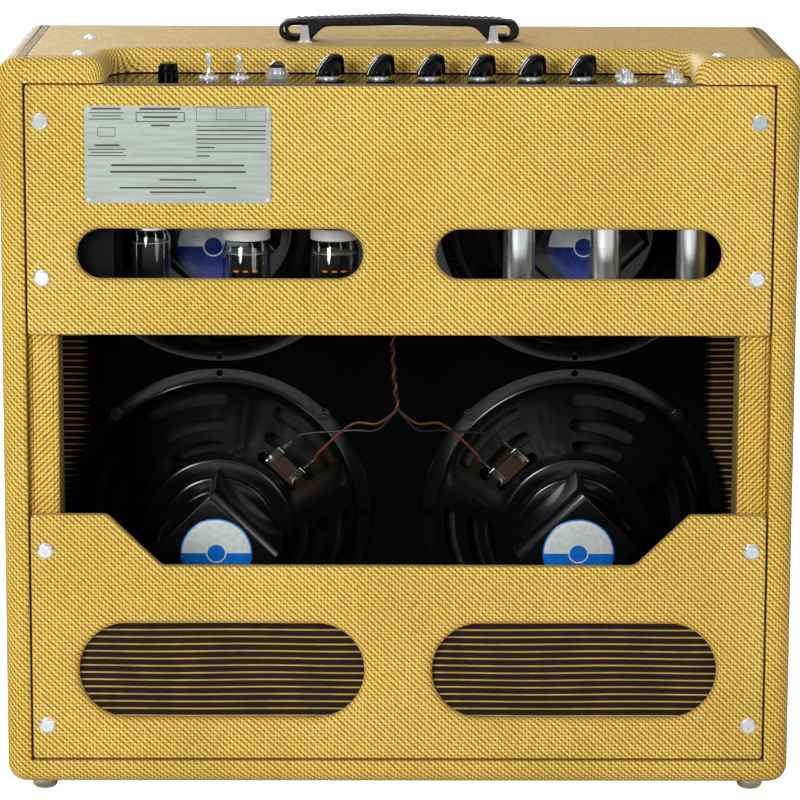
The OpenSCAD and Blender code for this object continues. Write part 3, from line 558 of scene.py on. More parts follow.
def studio_world():
    """White to the camera, soft grey light on the object, and in mirror-like surfaces dark at eye level and bright
    overhead."""
    world = bpy.data.worlds.new("studio")
    scene.world = world
    world.use_nodes = True
    tree = world.node_tree
    background = tree.nodes["Background"]
    rays = tree.nodes.new("ShaderNodeLightPath")
    ahead = tree.nodes.new("ShaderNodeTexCoord")
    parts = tree.nodes.new("ShaderNodeSeparateXYZ")
    tree.links.new(ahead.outputs["Generated"], parts.inputs[0])
    overhead = tree.nodes.new("ShaderNodeMapRange")
    overhead.interpolation_type = "SMOOTHSTEP"
    for name, value in (("From Min", 0.12), ("From Max", 0.5), ("To Min", MIRRORED_LOW), ("To Max", MIRRORED_HIGH)):
        overhead.inputs[name].default_value = value
    tree.links.new(parts.outputs["Z"], overhead.inputs["Value"])
    gloss = tree.nodes.new("ShaderNodeMapRange")
    gloss.inputs["To Min"].default_value = AMBIENT
    tree.links.new(overhead.outputs[0], gloss.inputs["To Max"])
    seen = tree.nodes.new("ShaderNodeMath")
    seen.operation = "MAXIMUM"
    tree.links.new(rays.outputs["Is Glossy Ray"], gloss.inputs["Value"])
    tree.links.new(rays.outputs["Is Camera Ray"], seen.inputs[0])
    tree.links.new(gloss.outputs[0], seen.inputs[1])
    tree.links.new(seen.outputs[0], background.inputs["Strength"])
    background.inputs["Color"].default_value = (1, 1, 1, 1)


def floor_paper():
    """White paper that shows no shadow to the camera, as in the photo."""
    g = Graph("white_paper")
    tone = g.ease(g.noise(3, 2), 0.3, 0.7, 0.86, 0.9)
    seen = g.add("LightPath").outputs["Is Camera Ray"]
    return g.set(Base_Color=g.add("CombineXYZ", tone, tone, tone).outputs[0], Roughness=0.8,
                 Emission_Color=(1, 1, 1, 1), Emission_Strength=seen)


def make_studio():
    studio_world()
    bpy.ops.mesh.primitive_plane_add(size=14, location=(0, 0, -0.0004))
    floor = bpy.context.object
    floor.name = "floor"
    floor.data.materials.append(floor_paper())
    middle = (0, 0, 0.35)
    make_lamp("key_lamp", (1.7, 3.3, 1.5), middle, 1.3, KEY_WATTS * 1.04)
    make_lamp("fill_lamp", (-2.4, 3.0, 1.2), middle, 1.6, KEY_WATTS * 0.24)
    make_lamp("top_lamp", (0.6, 0.2, 3.0), middle, 1.8, KEY_WATTS * 0.16)
    make_lamp("grille_lamp", (1.5, -3.2, 1.8), middle, 1.8, KEY_WATTS * 1.05)
    scene.view_settings.view_transform = "Standard"


# ---- Cabinet ----

def side_cloth(p):
    """Cloth place of a point on the sheet that covers a side and turns over onto its neighbours."""
    past_x = abs(p.x) - (HALF_W - EDGE)
    past_y = abs(p.y) - (HALF_D - EDGE)
    past_z = abs(p.z - MIDDLE_Z) - (HALF_H - EDGE)
    quarter = EDGE * math.pi / 2
    if past_y > 0 and past_x < 0:
        around = HALF_D - EDGE + quarter - past_x
    elif past_y > 0:
        around = HALF_D - EDGE + EDGE * math.atan2(past_y, max(past_x, 1e-6))
    else:
        around = abs(p.y)
    around *= 1 if p.y > 0 else -1
    height = abs(p.z - MIDDLE_Z)
    if past_z > 0:
        height = HALF_H - EDGE + EDGE * math.atan2(past_z, max(math.hypot(max(past_x, 0), max(past_y, 0)), 1e-6))
        height += max(-past_x, 0) if past_z > EDGE - 0.1 else 0
    height *= 1 if p.z > MIDDLE_Z else -1
    return (around if p.x > 0 else -around, height)


def sew_seams(item):
    """Cuts the covering along its seams, sinks them a little, and gives the parts beyond them the side cloth place and
    the darker side tweed (painted shade). The cloth also turns in over the front and rear margins of the board's inner
    face."""
    bm = bmesh.new()
    bm.from_mesh(item.data)
    layer = bm.loops.layers.uv["weave"]
    for side in (-1, 1):
        everything = bm.verts[:] + bm.edges[:] + bm.faces[:]
        bmesh.ops.bisect_plane(bm, geom=everything, plane_co=(0, side * (HALF_D - TURN_IN) * MM, 0), plane_no=(0, 1, 0))
    for face in bm.faces:
        if face.material_index == 1 and abs(face.calc_center_median().y) / MM > HALF_D - TURN_IN:
            face.material_index = 0
            for loop in face.loops:
                loop[layer].uv = (loop.vert.co.x, loop.vert.co.y)
    for side in (-1, 1):
        for gap in (-1.2, -0.6, 0, 0.6, 1.2):
            everything = bm.verts[:] + bm.edges[:] + bm.faces[:]
            bmesh.ops.bisect_plane(bm, geom=everything, plane_co=(side * (SEAM_X + gap) * MM, 0, 0), plane_no=(1, 0, 0))
    bm.normal_update()
    for vert in bm.verts:
        outer = vert.co.z / MM > CASE_HIGH - BOARD + 1 or vert.co.z / MM < CASE_LOW + BOARD - 1
        if abs(abs(vert.co.x) / MM - SEAM_X) < 0.1 and outer:
            vert.co -= vert.normal * 0.5 * MM
    for face in bm.faces:
        if abs(face.calc_center_median().x) / MM > SEAM_X:
            if face.material_index == 0:
                face.material_index = 2
            for loop in face.loops:
                u, v = side_cloth(loop.vert.co / MM)
                loop[layer].uv = (u * MM, v * MM)
    bm.to_mesh(item.data)
    bm.free()


def make_cabinet():
    opening_w = 441
    opening_d = 72
    opening_r = 24
    roll = 10
    gap_over_chassis = 0.8
    left, right = -HALF_W, HALF_W
    mouth = opening_w / 2
    top = outline(
        (left, -HALF_D, EDGE, EDGE), (-mouth, -HALF_D, EDGE, EDGE), (-mouth, opening_d - HALF_D, opening_r, roll),
        (mouth, opening_d - HALF_D, opening_r, roll), (mouth, -HALF_D, EDGE, EDGE), (right, -HALF_D, EDGE, EDGE),
        (right, HALF_D, EDGE, EDGE), (left, HALF_D, EDGE, EDGE))
    shape = slab([top], BOARD, lambda a, b, h: (-a, -b, CASE_HIGH + h), back_edge=0, back=1)
    for point in shape.points:
        if abs(point.x) < mouth + 0.5 and HALF_D - EDGE > point.y > HALF_D - opening_d - 0.5 and point.z < PANEL_TOP + 0.1:
            point.z += gap_over_chassis
    lid = piece("cabinet_top_board", shape, [TWEED, INSIDE, SHADED_SIDE_TWEED], ["cabinet_top"])
    sew_seams(lid)
    plain = outline((left, -HALF_D, EDGE, EDGE), (right, -HALF_D, EDGE, EDGE), (right, HALF_D, EDGE, EDGE),
                    (left, HALF_D, EDGE, EDGE))
    shape = slab([plain], BOARD, lambda a, b, h: (-a, b, CASE_LOW - h), back_edge=0, back=1)
    base = piece("cabinet_bottom_board", shape, [TWEED, INSIDE, SHADED_SIDE_TWEED], ["cabinet_bottom"])
    sew_seams(base)
    for side, name in ((1, "left"), (-1, "right")):
        make_side(side, "cabinet_side_" + name)


def make_side(side, node):
    """Side board between the top and the bottom board. Its covering turns 30 mm onto the inside."""
    soft = 2
    track = outline(
        (INNER_W, -HALF_D, soft, 0), (HALF_W, -HALF_D, EDGE, 0), (HALF_W, HALF_D, EDGE, 0), (INNER_W, HALF_D, soft, 0),
        (INNER_W, HALF_D - TURN_IN, 0, 0), (INNER_W, TURN_IN - HALF_D, 0, 0))
    heights = [CASE_LOW + BOARD, CASE_HIGH - BOARD]
    count = len(track)
    points = [Vector((side * p.x, p.y, z)) for z in heights for p, _, _ in track]
    faces = [(i, (i + 1) % count, (i + 1) % count + count, i + count) for i in range(count)]
    hidden = [abs(abs(points[f[0]].x) - INNER_W) < 0.1 and abs(points[f[0]].y) < HALF_D - 20
              and abs(points[f[1]].y) < HALF_D - 20 for f in faces]
    shape = Shape().add(points, faces, [1 if dark else 0 for dark in hidden], [side_cloth(p) for p in points])
    shape.faces += [tuple(range(count)), tuple(range(count, 2 * count))]
    shape.slots += [1, 1]
    # The side board's covering is the darker tweed copy, which is painted shade.
    piece(node + "_board", shape, [SHADED_SIDE_TWEED, INSIDE], [node])


def rear_face(front_y):
    """Placing of a panel that is seen from the back."""
    return lambda a, b, h: (-a, front_y + h, b)


def slots_in_panel(width, height, middle_x, middle_z, edge):
    return [box_outline(side * middle_x, middle_z, width, height, height / 2 - 0.05, edge, hole=True) for side in (-1, 1)]


def make_panels():
    low, high = corners("upper_back_panel")
    edge = 2
    slot_x = 135.5
    shoulder_x = 222.5
    shoulder_h = 0.6
    top = high.z - shoulder_h
    around = outline((low.x, low.z, edge + 1, edge), (high.x, low.z, edge + 1, edge), (high.x, top, edge + 1, edge),
                     (shoulder_x, top, 0, edge), (shoulder_x - 1, top, 0, edge), (1 - shoulder_x, top, 0, edge),
                     (-shoulder_x, top, 0, edge), (low.x, top, edge + 1, edge))
    for point, _, _ in around:
        if abs(point.x) > shoulder_x - 0.5 and point.y > top - edge - 2:
            point.y += shoulder_h
    holes = slots_in_panel(216, 38, slot_x, CASE_LOW + 413.5, 6.5)
    shape = slab([around] + holes, high.y - low.y, rear_face(high.y), back=1)
    piece("upper_back_panel_cover", shape, [TWEED, INSIDE], ["upper_back_panel"])
    low, high = corners("lower_back_panel")
    step_low = high.z - 40
    step_top = 222.5
    step_bottom = 181
    around = outline(
        (low.x, low.z, edge + 1, edge), (high.x, low.z, edge + 1, edge), (high.x, high.z, edge + 2, edge),
        (step_top, high.z, 7, edge), (step_bottom, step_low, 9, edge), (-step_bottom, step_low, 9, edge),
        (-step_top, high.z, 7, edge), (low.x, high.z, edge + 2, edge))
    holes = slots_in_panel(219, 75, slot_x, CASE_LOW + 89.5, 6.5)
    shape = slab([around] + holes, high.y - low.y, rear_face(high.y), back=1)
    piece("lower_back_panel_cover", shape, [TWEED, INSIDE], ["lower_back_panel"])


# ---- Trim on the case ----

def make_cleats():
    """Battens inside the sides that the back panels screw to, wrapped in the sides' darker copy of the tweed, which is
    painted shade.
    """
    low, high = corners("back_cleats")
    width = 24
    soft = 3
    for side, name in ((1, "left"), (-1, "right")):
        middle = side * (high.x - width / 2)
        loop = box_outline(middle, (low.z + high.z) / 2, width - 0.4, high.z - low.z - 0.4, soft + 0.5, soft)
        shape = slab([loop], high.y - low.y, rear_face(high.y), back_edge=2)
        for point in shape.points:
            point.x = -point.x
        piece("back_cleat_" + name, shape, [SHADED_SIDE_TWEED, INSIDE], ["back_cleats"])


def make_rails():
    """Narrow cloth-covered rails above and below the front grille."""
    low, high = corners("front_rails")
    height = 38
    for name, z0 in (("lower", low.z), ("upper", high.z - height)):
        loop = box_outline(0, z0 + height / 2, high.x - low.x, height, 4.5, 4)
        shape = slab([loop], high.y - low.y, lambda a, b, h: (a, low.y - h, b), back=1)
        piece("front_rail_" + name, shape, [TWEED, INSIDE], ["front_rails"])


def corded_sheet(width, height, place, pitch=5.4, cord_h=0.35):
    """Sheet of cloth about the middle of its area, with a raised cord every pitch and slightly wavering rows."""
    columns = max(12, int(width / 9))
    rows = int(height / pitch)
    levels = [(share, cord_h if 0.4 <= share <= 0.6 else 0.0) for share in (0.0, 0.37, 0.43, 0.5, 0.57, 0.63)]
    heights = [((i + share) * pitch, lift) for i in range(rows) for share, lift in levels] + [(rows * pitch, 0.0)]
    points, cloth, faces = [], [], []
    for layer_drop in (0.0, 0.5):
        for v, lift in heights:
            for k in range(columns + 1):
                u = width * k / columns
                waver = 0.35 * math.sin(u / 23 + v / 31) * math.sin(math.pi * v / height)
                stretch = (height / (rows * pitch))
                points.append(place(u - width / 2, (v + waver) * stretch - height / 2, (lift if layer_drop == 0 else 0) - layer_drop))
                cloth.append((u, v))
    across = columns + 1
    levels_n = len(heights)
    sheet = levels_n * across
    for layer in (0, 1):
        for i in range(levels_n - 1):
            for k in range(columns):
                a = layer * sheet + i * across + k
                faces.append((a, a + 1, a + 1 + across, a + across))
    rim = ([(0, k) for k in range(columns)] + [(i, columns) for i in range(levels_n - 1)]
           + [(levels_n - 1, k) for k in range(columns, 0, -1)] + [(i, 0) for i in range(levels_n - 1, 0, -1)])
    ring = [i * across + k for i, k in rim]
    for n, a in enumerate(ring):
        b = ring[(n + 1) % len(ring)]
        faces.append((a, b, b + sheet, a + sheet))
    return Shape().add(points, faces, 0, cloth)


def make_grilles():
    low, high = corners("rear_grille_cloth")
    height = high.z - low.z
    width = height * 0 + 235
    for side, name in ((1, "left"), (-1, "right")):
        middle = side * (high.x - width / 2)
        shape = corded_sheet(width, height, lambda a, b, h: (middle - a, high.y + h - 0.4, (low.z + high.z) / 2 + b))
        piece("rear_grille_cloth_" + name, shape, [GRILLE], ["rear_grille_cloth"])
    low, high = corners("front_grille_cloth")
    tilt = math.radians(6)
    height = (high.z - low.z) / math.cos(tilt) - 1
    width = high.x - low.x
    middle_y = (low.y + high.y) / 2
    middle_z = (low.z + high.z) / 2

    def on_front(a, b, h):
        return (a, middle_y - (h - 0.2) * math.cos(tilt) + b * math.sin(tilt), middle_z + b * math.cos(tilt) + h * math.sin(tilt))

    piece("front_grille_cloth_sheet", corded_sheet(width, height, on_front), [GRILLE], ["front_grille_cloth"])


def ink_bar(a, b, width, height, place):
    """Thin printed bar with soft corners."""
    loop = box_outline(a, b, width, height, min(width, height) * 0.4, 0.02)
    return slab([loop], 0.12, lambda u, v, h: place(u, v, h + 0.06), back_edge=0, lip=0.04)


def make_nameplate():
    """Brushed plate whose print is only plain rules and empty boxes."""
    low, high = corners("nameplate")
    width = high.x - low.x
    height = high.z - low.z
    middle_x = -(low.x + high.x) / 2
    middle_z = (low.z + high.z) / 2
    place = rear_face(high.y)
    inset = 2.8
    holes = [box_outline(middle_x + a * (width / 2 - inset), middle_z + b * (height / 2 - inset), 1.8, 1.8, 0.88, 0.1, hole=True)
             for a in (-1, 1) for b in (-1, 1)]
    shape = slab([box_outline(middle_x, middle_z, width, height, 3, 0.35)] + holes, high.y - low.y, place, back_edge=0.1,
                 lip=0.2)
    piece("nameplate_sheet", shape, [BRUSHED], ["nameplate"])
    marks = Shape()

    def rule(a, b, length, thick=0.7):
        marks.join(ink_bar(middle_x + a, middle_z + b, length, thick, place))

    def box(a, b, w, h, thick=0.4):
        for side in (-1, 1):
            rule(a, b + side * h / 2, w, thick)
            marks.join(ink_bar(middle_x + a + side * w / 2, middle_z + b, thick, h, place))

    def lines(a, b, widest, count, step=2.4):
        for row in range(count):
            rule(a, b - row * step, widest * (1 - 0.16 * (row % 2)))

    rule(-53.5, 34.5, 22, 1.4)
    lines(-53.5, 31.5, 26, 3)
    box(-53.5, 17, 13, 6.5)
    rule(-53, 7, 19, 1.4)
    lines(-53, 4, 29, 3)
    rule(-13, 34.5, 31, 1.6)
    box(-13, 28.3, 36, 6.8, 0.7)
    rule(-13, 28.3, 26, 1.4)
    rule(-13, 22, 14, 1.4)
    box(40, 30.5, 52, 11)
    box(40, 30.5, 22, 8.4)
    for row, widest in enumerate((52, 52, 52, 52, 52, 14, 52, 10)):
        rule(40 - (52 - widest) / 2, 21.5 - row * 3.2, widest, 1.0 if row % 2 else 0.7)
    for row, length in enumerate((100, 102)):
        rule(0, -8 - row * 5, length, 1.6)
    rule(0, -19, 28, 1.1)
    rule(0, -25, 88, 1.3)
    rule(0, -28.4, 42, 1.3)
    piece("nameplate_rules", marks, [INK])


def make_feet():
    low, high = corners("feet")
    r = (high.z - low.z)
    dome = [(0, 0.4), (4.5, 0.4), (5, 0.0), (7.2, 0.5), (8.9, 1.8), (9.8, 4.0), (10.0, 6.4), (9.5, 8.2), (9.5, 9.9), (0, 9.9)]
    glide = lathe(dome, 40)
    shape = Shape()
    for x in (low.x + r, high.x - r):
        for y in (low.y + r, high.y - r):
            shape.join(glide, shift(x, y, low.z))
    piece("foot_glides", shape, [NICKEL], ["feet"])


def make_washers():
    """Cup washers under the panel screws."""
    low, high = corners("panel_washers")
    cup = [(6.3, 0.0), (6.35, 0.35), (5.9, 0.9), (5.1, 1.35), (4.75, 1.3), (4.7, 0.2)]
    r = 6.4
    shape = Shape()
    for z in CASE_LOW + 514, CASE_LOW + 395.5, CASE_LOW + 184.5, CASE_LOW + 47:
        for x in (low.x + r, high.x - r):
            shape.join(lathe(cup, 32), shift(x, low.y, z) @ spin(x=-90))
    piece("cup_washers", shape, [SHIELD], ["panel_washers"])


# ---- Handle ----

def make_handle():
    low, high = corners("handle_strap")
    width = high.y - low.y
    half = high.x
    base = low.z
    soft = 2.0
    right = [(58.5, 10.9, 12, soft), (69.0, 0.1, 5, soft), (half, 0.1, 7.2, soft), (half, 14.7, 7.2, soft), (72, 16.8, 70, soft)]
    left = [(-a, b, r, e) for a, b, r, e in reversed(right)]
    around = outline((0, 11.6, 0, soft), *right, (0, 19.3, 0, soft), *left)
    eyes = [box_outline(side * 78.05, 7.8, 16.7, 7.8, 3.85, 1.0, hole=True) for side in (-1, 1)]
    shape = slab([around] + eyes, width, lambda a, b, h: (-a, width / 2 + h, base + b), back_edge=2.0)
    piece("handle_leather", shape, [LEATHER], ["handle_strap"], "handle")
    stitch = lathe([(0, -1.9), (0.35, -1.6), (0.5, 0), (0.35, 1.6), (0, 1.9)], 8)
    sewn = Shape()
    for step in range(-15, 16):
        x = step * 5.2
        z = base + 18.9 - 2.3 * abs(x / 72)
        for face in (-1, 1):
            sewn.join(stitch, shift(x, face * (width / 2 - 3.2), z + 0.4) @ spin(y=90 + math.copysign(2.0, x)))
    piece("handle_stitches", sewn, [THREAD], (), "handle")


# ---- Control panel ----

def body_of(node):
    return next(name for name, members in frame["record"]["behaviour"]["bodies"].items() if node in members)


def knob_section(y, back, tip, high):
    """Half section of the knob at y, from its foot to its ridge, as (half width, height) points."""
    fin = 5.4 if y < 0 else 5.4 - 3.7 * (y / tip) ** 1.2
    round_foot = math.sqrt(max(0.0, 9.4 ** 2 - y * y))
    foot = max(fin, round_foot)
    if y < back + 3.5:
        tall = high - 3.5 + math.sqrt(max(0.0, 3.5 ** 2 - (back + 3.5 - y) ** 2))
    else:
        slope = max(0.0, (y + 6) / (tip + 6))
        tall = high * max(0.03, 1 - slope ** 1.5) ** (2 / 3)
    top = min(fin - 0.5, fin * 0.9)
    low = min(5.0, tall * 0.38)
    return [(foot, 0.0), (foot, low), (foot * 0.8 + top * 0.2, min(6.8, tall * 0.48)),
            (foot * 0.25 + top * 0.75, min(9.0, tall * 0.62)), (top, min(11.0, tall * 0.74)), (top * 0.97, tall * 0.91),
            (top * 0.8, tall * 0.97), (top * 0.45, tall)]


def pointer_knob():
    """Black pointer knob: a round foot that rises into a fin, with a white line down the ridge to the tip at +y."""
    back, tip, high = -12.4, 13.0, 15.6
    stations = 34
    points = []
    ridge = []
    for i in range(stations + 1):
        y = back + (tip - back) * (0.5 - 0.5 * math.cos(math.pi * i / stations))
        half = knob_section(y, back, tip, high)
        points += [(-x, y, z) for x, z in half] + [(0, y, half[-1][1] + 0.05)] + [(x, y, z) for x, z in reversed(half)]
        if y > 0.5:
            ridge.append((0, y - 0.2, half[-1][1] - 0.15))
    section = len(points) // (stations + 1)
    faces = []
    for i in range(stations):
        here = i * section
        beyond = here + section
        faces += [(here + k, here + k + 1, beyond + k + 1, beyond + k) for k in range(section - 1)]
        faces.append((here, beyond, beyond + section - 1, here + section - 1))
    faces += [tuple(range(section)), tuple(stations * section + k for k in range(section))]
    shape = Shape().add(points, faces)
    line = tube(ridge, 0.42, 6, slot=1)
    for p in line.points:
        p.x *= 1.2
    shape.join(line)
    return shape.join(lathe([(0, 0.1), (3.1, 0.1), (3.1, -2.6), (0, -2.6)], 24), slot=2)


def make_knobs():
    mesh = mesh_of("pointer_knob", pointer_knob(), [GLOSS_BLACK, WHITE_LINE, STEEL], 40)
    lift = 2.2
    for name in ("presence", "middle", "bass", "treble", "bright_volume", "normal_volume"):
        node = name + "_knob"
        shaft_x, shaft_y = knob_axis(name)
        place = shift(shaft_x * MM, shaft_y * MM, (PANEL_TOP + lift) * MM) @ spin(z=-42)
        place_mesh(node + "_shell", mesh, [node], body_of(node), place)


def knob_axis(name):
    """Where a knob's joint axis stands."""
    joint = next(j for j in frame["joints"] if j["name"] == name + "_turn")
    return joint["pos_m"][0] / MM, joint["pos_m"][1] / MM


def make_small_controls():
    low, high = corners("fuse_cap")
    x, y = (low.x + high.x) / 2, (low.y + high.y) / 2
    cap_h = 5.6
    grip = lathe([(0, 0), (7.2, 0), (7.5, 0.4), (7.5, 3.9), (7.4, 4.2), (7.1, 4.4), (7.1, 5.2), (6.7, cap_h), (3.6, cap_h),
                  (3.3, cap_h - 0.5), (0, cap_h - 0.5)], 72)
    for p in grip.points:
        turn = math.atan2(p.y, p.x)
        reach = math.hypot(p.x, p.y)
        if reach > 7.45:
            scale = 1 - 0.03 * (0.5 + 0.5 * math.cos(turn * 24))
            p.x, p.y = p.x * scale, p.y * scale
    plug = lathe([(0, 0.1), (3.8, 0.1), (3.8, -8.6), (0, -8.6)], 32)
    shape = Shape().join(grip).join(plug)
    for p in shape.points:
        p += Vector((x, y, high.z - cap_h))
    piece("fuse_cap_grip", shape, [GLOSS_BLACK], ["fuse_cap"], body_of("fuse_cap"))
    low, high = corners("pilot_jewel")
    x, y = (low.x + high.x) / 2, (low.y + high.y) / 2
    facets = lathe([(0, 0), (6.1, 0), (6.1, 6.4), (5.4, 8.4), (3.8, 9.9), (1.8, 10.8), (0, 11)], 10)
    shape = Shape().join(facets, shift(x, y, low.z))
    piece("pilot_jewel_facets", shape, [JEWEL], ["pilot_jewel"], sharp=5)


# ---- Tubes ----

def tube_envelope(r, length, top):
    """Thin glass bulb that hangs from its base at height 0 down to -length."""
    profile = []
    for wall in (0.0, 1.0):
        run = [(r * 0.86 - wall, top), (r - wall, top - 6), (r - wall, top + r * 0.7 - length)]
        for k in range(1, 8):
            t = math.pi / 2 * k / 8
            run.append(((r - wall) * math.cos(t), top - length + r * 0.7 - (r * 0.7 - wall) * math.sin(t)))
        run.append((0.6, top - length + wall))
        profile += run if wall == 0 else run[::-1]
    return lathe(profile, 48)


def tube_inside(r, length):
    """Electrodes: two mica discs, a ribbed plate box between them, support wires and a getter ring."""
    shape = Shape()
    upper, lower = -9.0, -length + r * 0.9
    for z in (upper, lower):
        disc = lathe([(0, 0), (r - 1.6, 0), (r - 1.6, -0.7), (0, -0.7)], 40, slot=1)
        for p in disc.points:
            turn = math.atan2(p.y, p.x)
            p.x *= 1 - 0.07 * (math.cos(turn * 8) > 0.6)
            p.y *= 1 - 0.07 * (math.cos(turn * 8) > 0.6)
        shape.join(disc, shift(0, 0, z))
    plate = slab([outline((-r * 0.62, -r * 0.3, r * 0.25, 0.3), (-1.6, -r * 0.36, 0, 0.3), (1.6, -r * 0.36, 0, 0.3),
                          (r * 0.62, -r * 0.3, r * 0.25, 0.3), (r * 0.62, r * 0.3, r * 0.25, 0.3),
                          (1.6, r * 0.36, 0, 0.3), (-1.6, r * 0.36, 0, 0.3), (-r * 0.62, r * 0.3, r * 0.25, 0.3))],
                 upper - lower - 2.4, lambda a, b, h: (a, b, upper - 1.6 + h), back_edge=0.3)
    shape.join(plate, slot=0)
    for x in (-r * 0.7, -r * 0.25, r * 0.25, r * 0.7):
        shape.join(tube([(x, 0, -1), (x, 0, lower - 3)], 0.5, 8, slot=2))
        shape.join(lathe([(0, 0), (1.1, 0), (1.1, -4.5), (0, -4.5)], 12, slot=2), shift(x, r * 0.12, upper + 5.0))
    ring = [(4 * math.cos(TURN * k / 20), 4 * math.sin(TURN * k / 20), lower - 5) for k in range(20)]
    return shape.join(tube(ring, 0.5, 6, slot=2, closed=True))


def make_tubes():
    for node, base_r, base_h, r, length, band in (("rectifier_tube", 16, 22, 15.5, 62, 4), ("power_tubes", 17, 30, 18.5, 66, 9)):
        low, high = corners(node)
        xs = [(low.x + high.x) / 2] if node == "rectifier_tube" else [low.x + r, high.x - r]
        y = (low.y + high.y) / 2
        outer, inside, ends = Shape(), Shape(), Shape()
        for x in xs:
            bottom = high.z - base_h
            outer.join(tube_envelope(r, length, 0.0), shift(x, y, bottom))
            inside.join(tube_inside(r, length), shift(x, y, bottom) @ spin(z=18))
            cup = lathe([(0, 0), (base_r, 0), (base_r, -base_h + 1.2), (base_r - 1, -base_h), (0, -base_h)], 48, slot=0)
            ends.join(cup, shift(x, y, high.z))
            if node == "power_tubes":
                for k in (-1, 0, 1):
                    mark = [((r + 0.02) * math.sin(a / 10), (r + 0.02) * math.cos(a / 10), 0) for a in range(k * 4 - 1, k * 4 + 2)]
                    ends.join(tube(mark, 0.7, 6, slot=1), shift(x, y, bottom - 22))
        name = node.rstrip("s")
        piece(name + "_glass", outer, [TUBE_GLASS], [node])
        piece(name + "_inside", inside, [PLATE_GREY, MICA, TIN])
        piece(name + "_base", ends, [BAKELITE, ORANGE])
        bands = Shape()
        for x in xs:
            drop = 20 if node == "power_tubes" else 17
            hoop = lathe([(base_r + 0.1, 0), (base_r + 1.4, 0.2), (base_r + 1.6, 1.0), (base_r + 1.6, band - 1.0),
                          (base_r + 1.4, band - 0.2), (base_r + 0.1, band)], 64)
            bands.join(hoop, shift(x, y, high.z - drop - band))
        piece(name + "_clamp", bands, [ENAMEL if node == "power_tubes" else SHIELD], ["tube_clamps"])


def make_shields():
    low, high = corners("tube_shields")
    r = 13.2
    can = lathe([(13.2, 0), (13.2, -5.6), (12.8, -6.2), (12.2, -6.6), (12.2, -61), (11.9, -63.4), (11, -65), (9.6, -66),
                 (6.4, -66), (6, -65.6), (6, -65.0), (9.4, -65.0), (11.2, -62.4), (11.4, -60), (11.4, 0)], 56)
    shape = Shape()
    for x in (low.x + r, (low.x + high.x) / 2 + 0.1, high.x - r):
        shape.join(can, shift(x, (low.y + high.y) / 2, high.z))
    piece("shield_cans", shape, [SHIELD], ["tube_shields"])


# ---- Loudspeakers ----

def speaker_frames():
    """For each loudspeaker: its name, its turn on the board (x to its terminals) and the matrix of the board's frame
    (x across, y down the board, z out of the back), in millimetres."""
    frames = []
    for name in ("upper_left", "upper_right", "lower_left", "lower_right"):
        joint = next(j for j in frame["joints"] if j["name"] == name + "_cone_travel")
        out = Vector(joint["axis"]).normalized()
        rim = [v.co / MM for v in frame["nodes"][name + "_cone"].data.vertices]
        nearest = min(p.dot(out) for p in rim)
        edge = [p for p in rim if p.dot(out) < nearest + 0.5]
        low_x, high_x = min(p.x for p in edge), max(p.x for p in edge)
        low_z, high_z = min(p.z for p in edge), max(p.z for p in edge)
        centre = Vector(((low_x + high_x) / 2, 0, (low_z + high_z) / 2))
        centre.y = (nearest - centre.z * out.z) / out.y
        down = out.cross(Vector((1, 0, 0)))
        board = Matrix(((1, down.x, out.x, centre.x), (0, down.y, out.y, centre.y), (0, down.z, out.z, centre.z), (0, 0, 0, 1)))
        side = 1 if centre.x > 0 else -1
        frames.append((name, spin(z=-90 - side * 45), board))
    return frames


def in_metres(matrix):
    scaled = matrix.copy()
    scaled.translation = matrix.translation * MM
    return scaled


def cut(shape, cutters, materials, name, sharp=35):
    """Mesh of a shape with the cutters taken out of it."""
    solid = bpy.data.objects.new("solid", mesh_of(name, shape, materials, sharp))
    tool = bpy.data.objects.new("tool", mesh_of("tool", cutters, materials, sharp))
    for item in (solid, tool):
        scene.collection.objects.link(item)
    step = solid.modifiers.new("cut", "BOOLEAN")
    step.object = tool
    step.operation = "DIFFERENCE"
    step.solver = "EXACT"
    bpy.context.view_layer.update()
    result = bpy.data.meshes.new_from_object(solid.evaluated_get(bpy.context.evaluated_depsgraph_get()))
    for item in (solid, tool):
        bpy.data.objects.remove(item)
    result.name = name
    result.shade_smooth()
    result.set_sharp_from_angle(angle=math.radians(sharp))
    return result


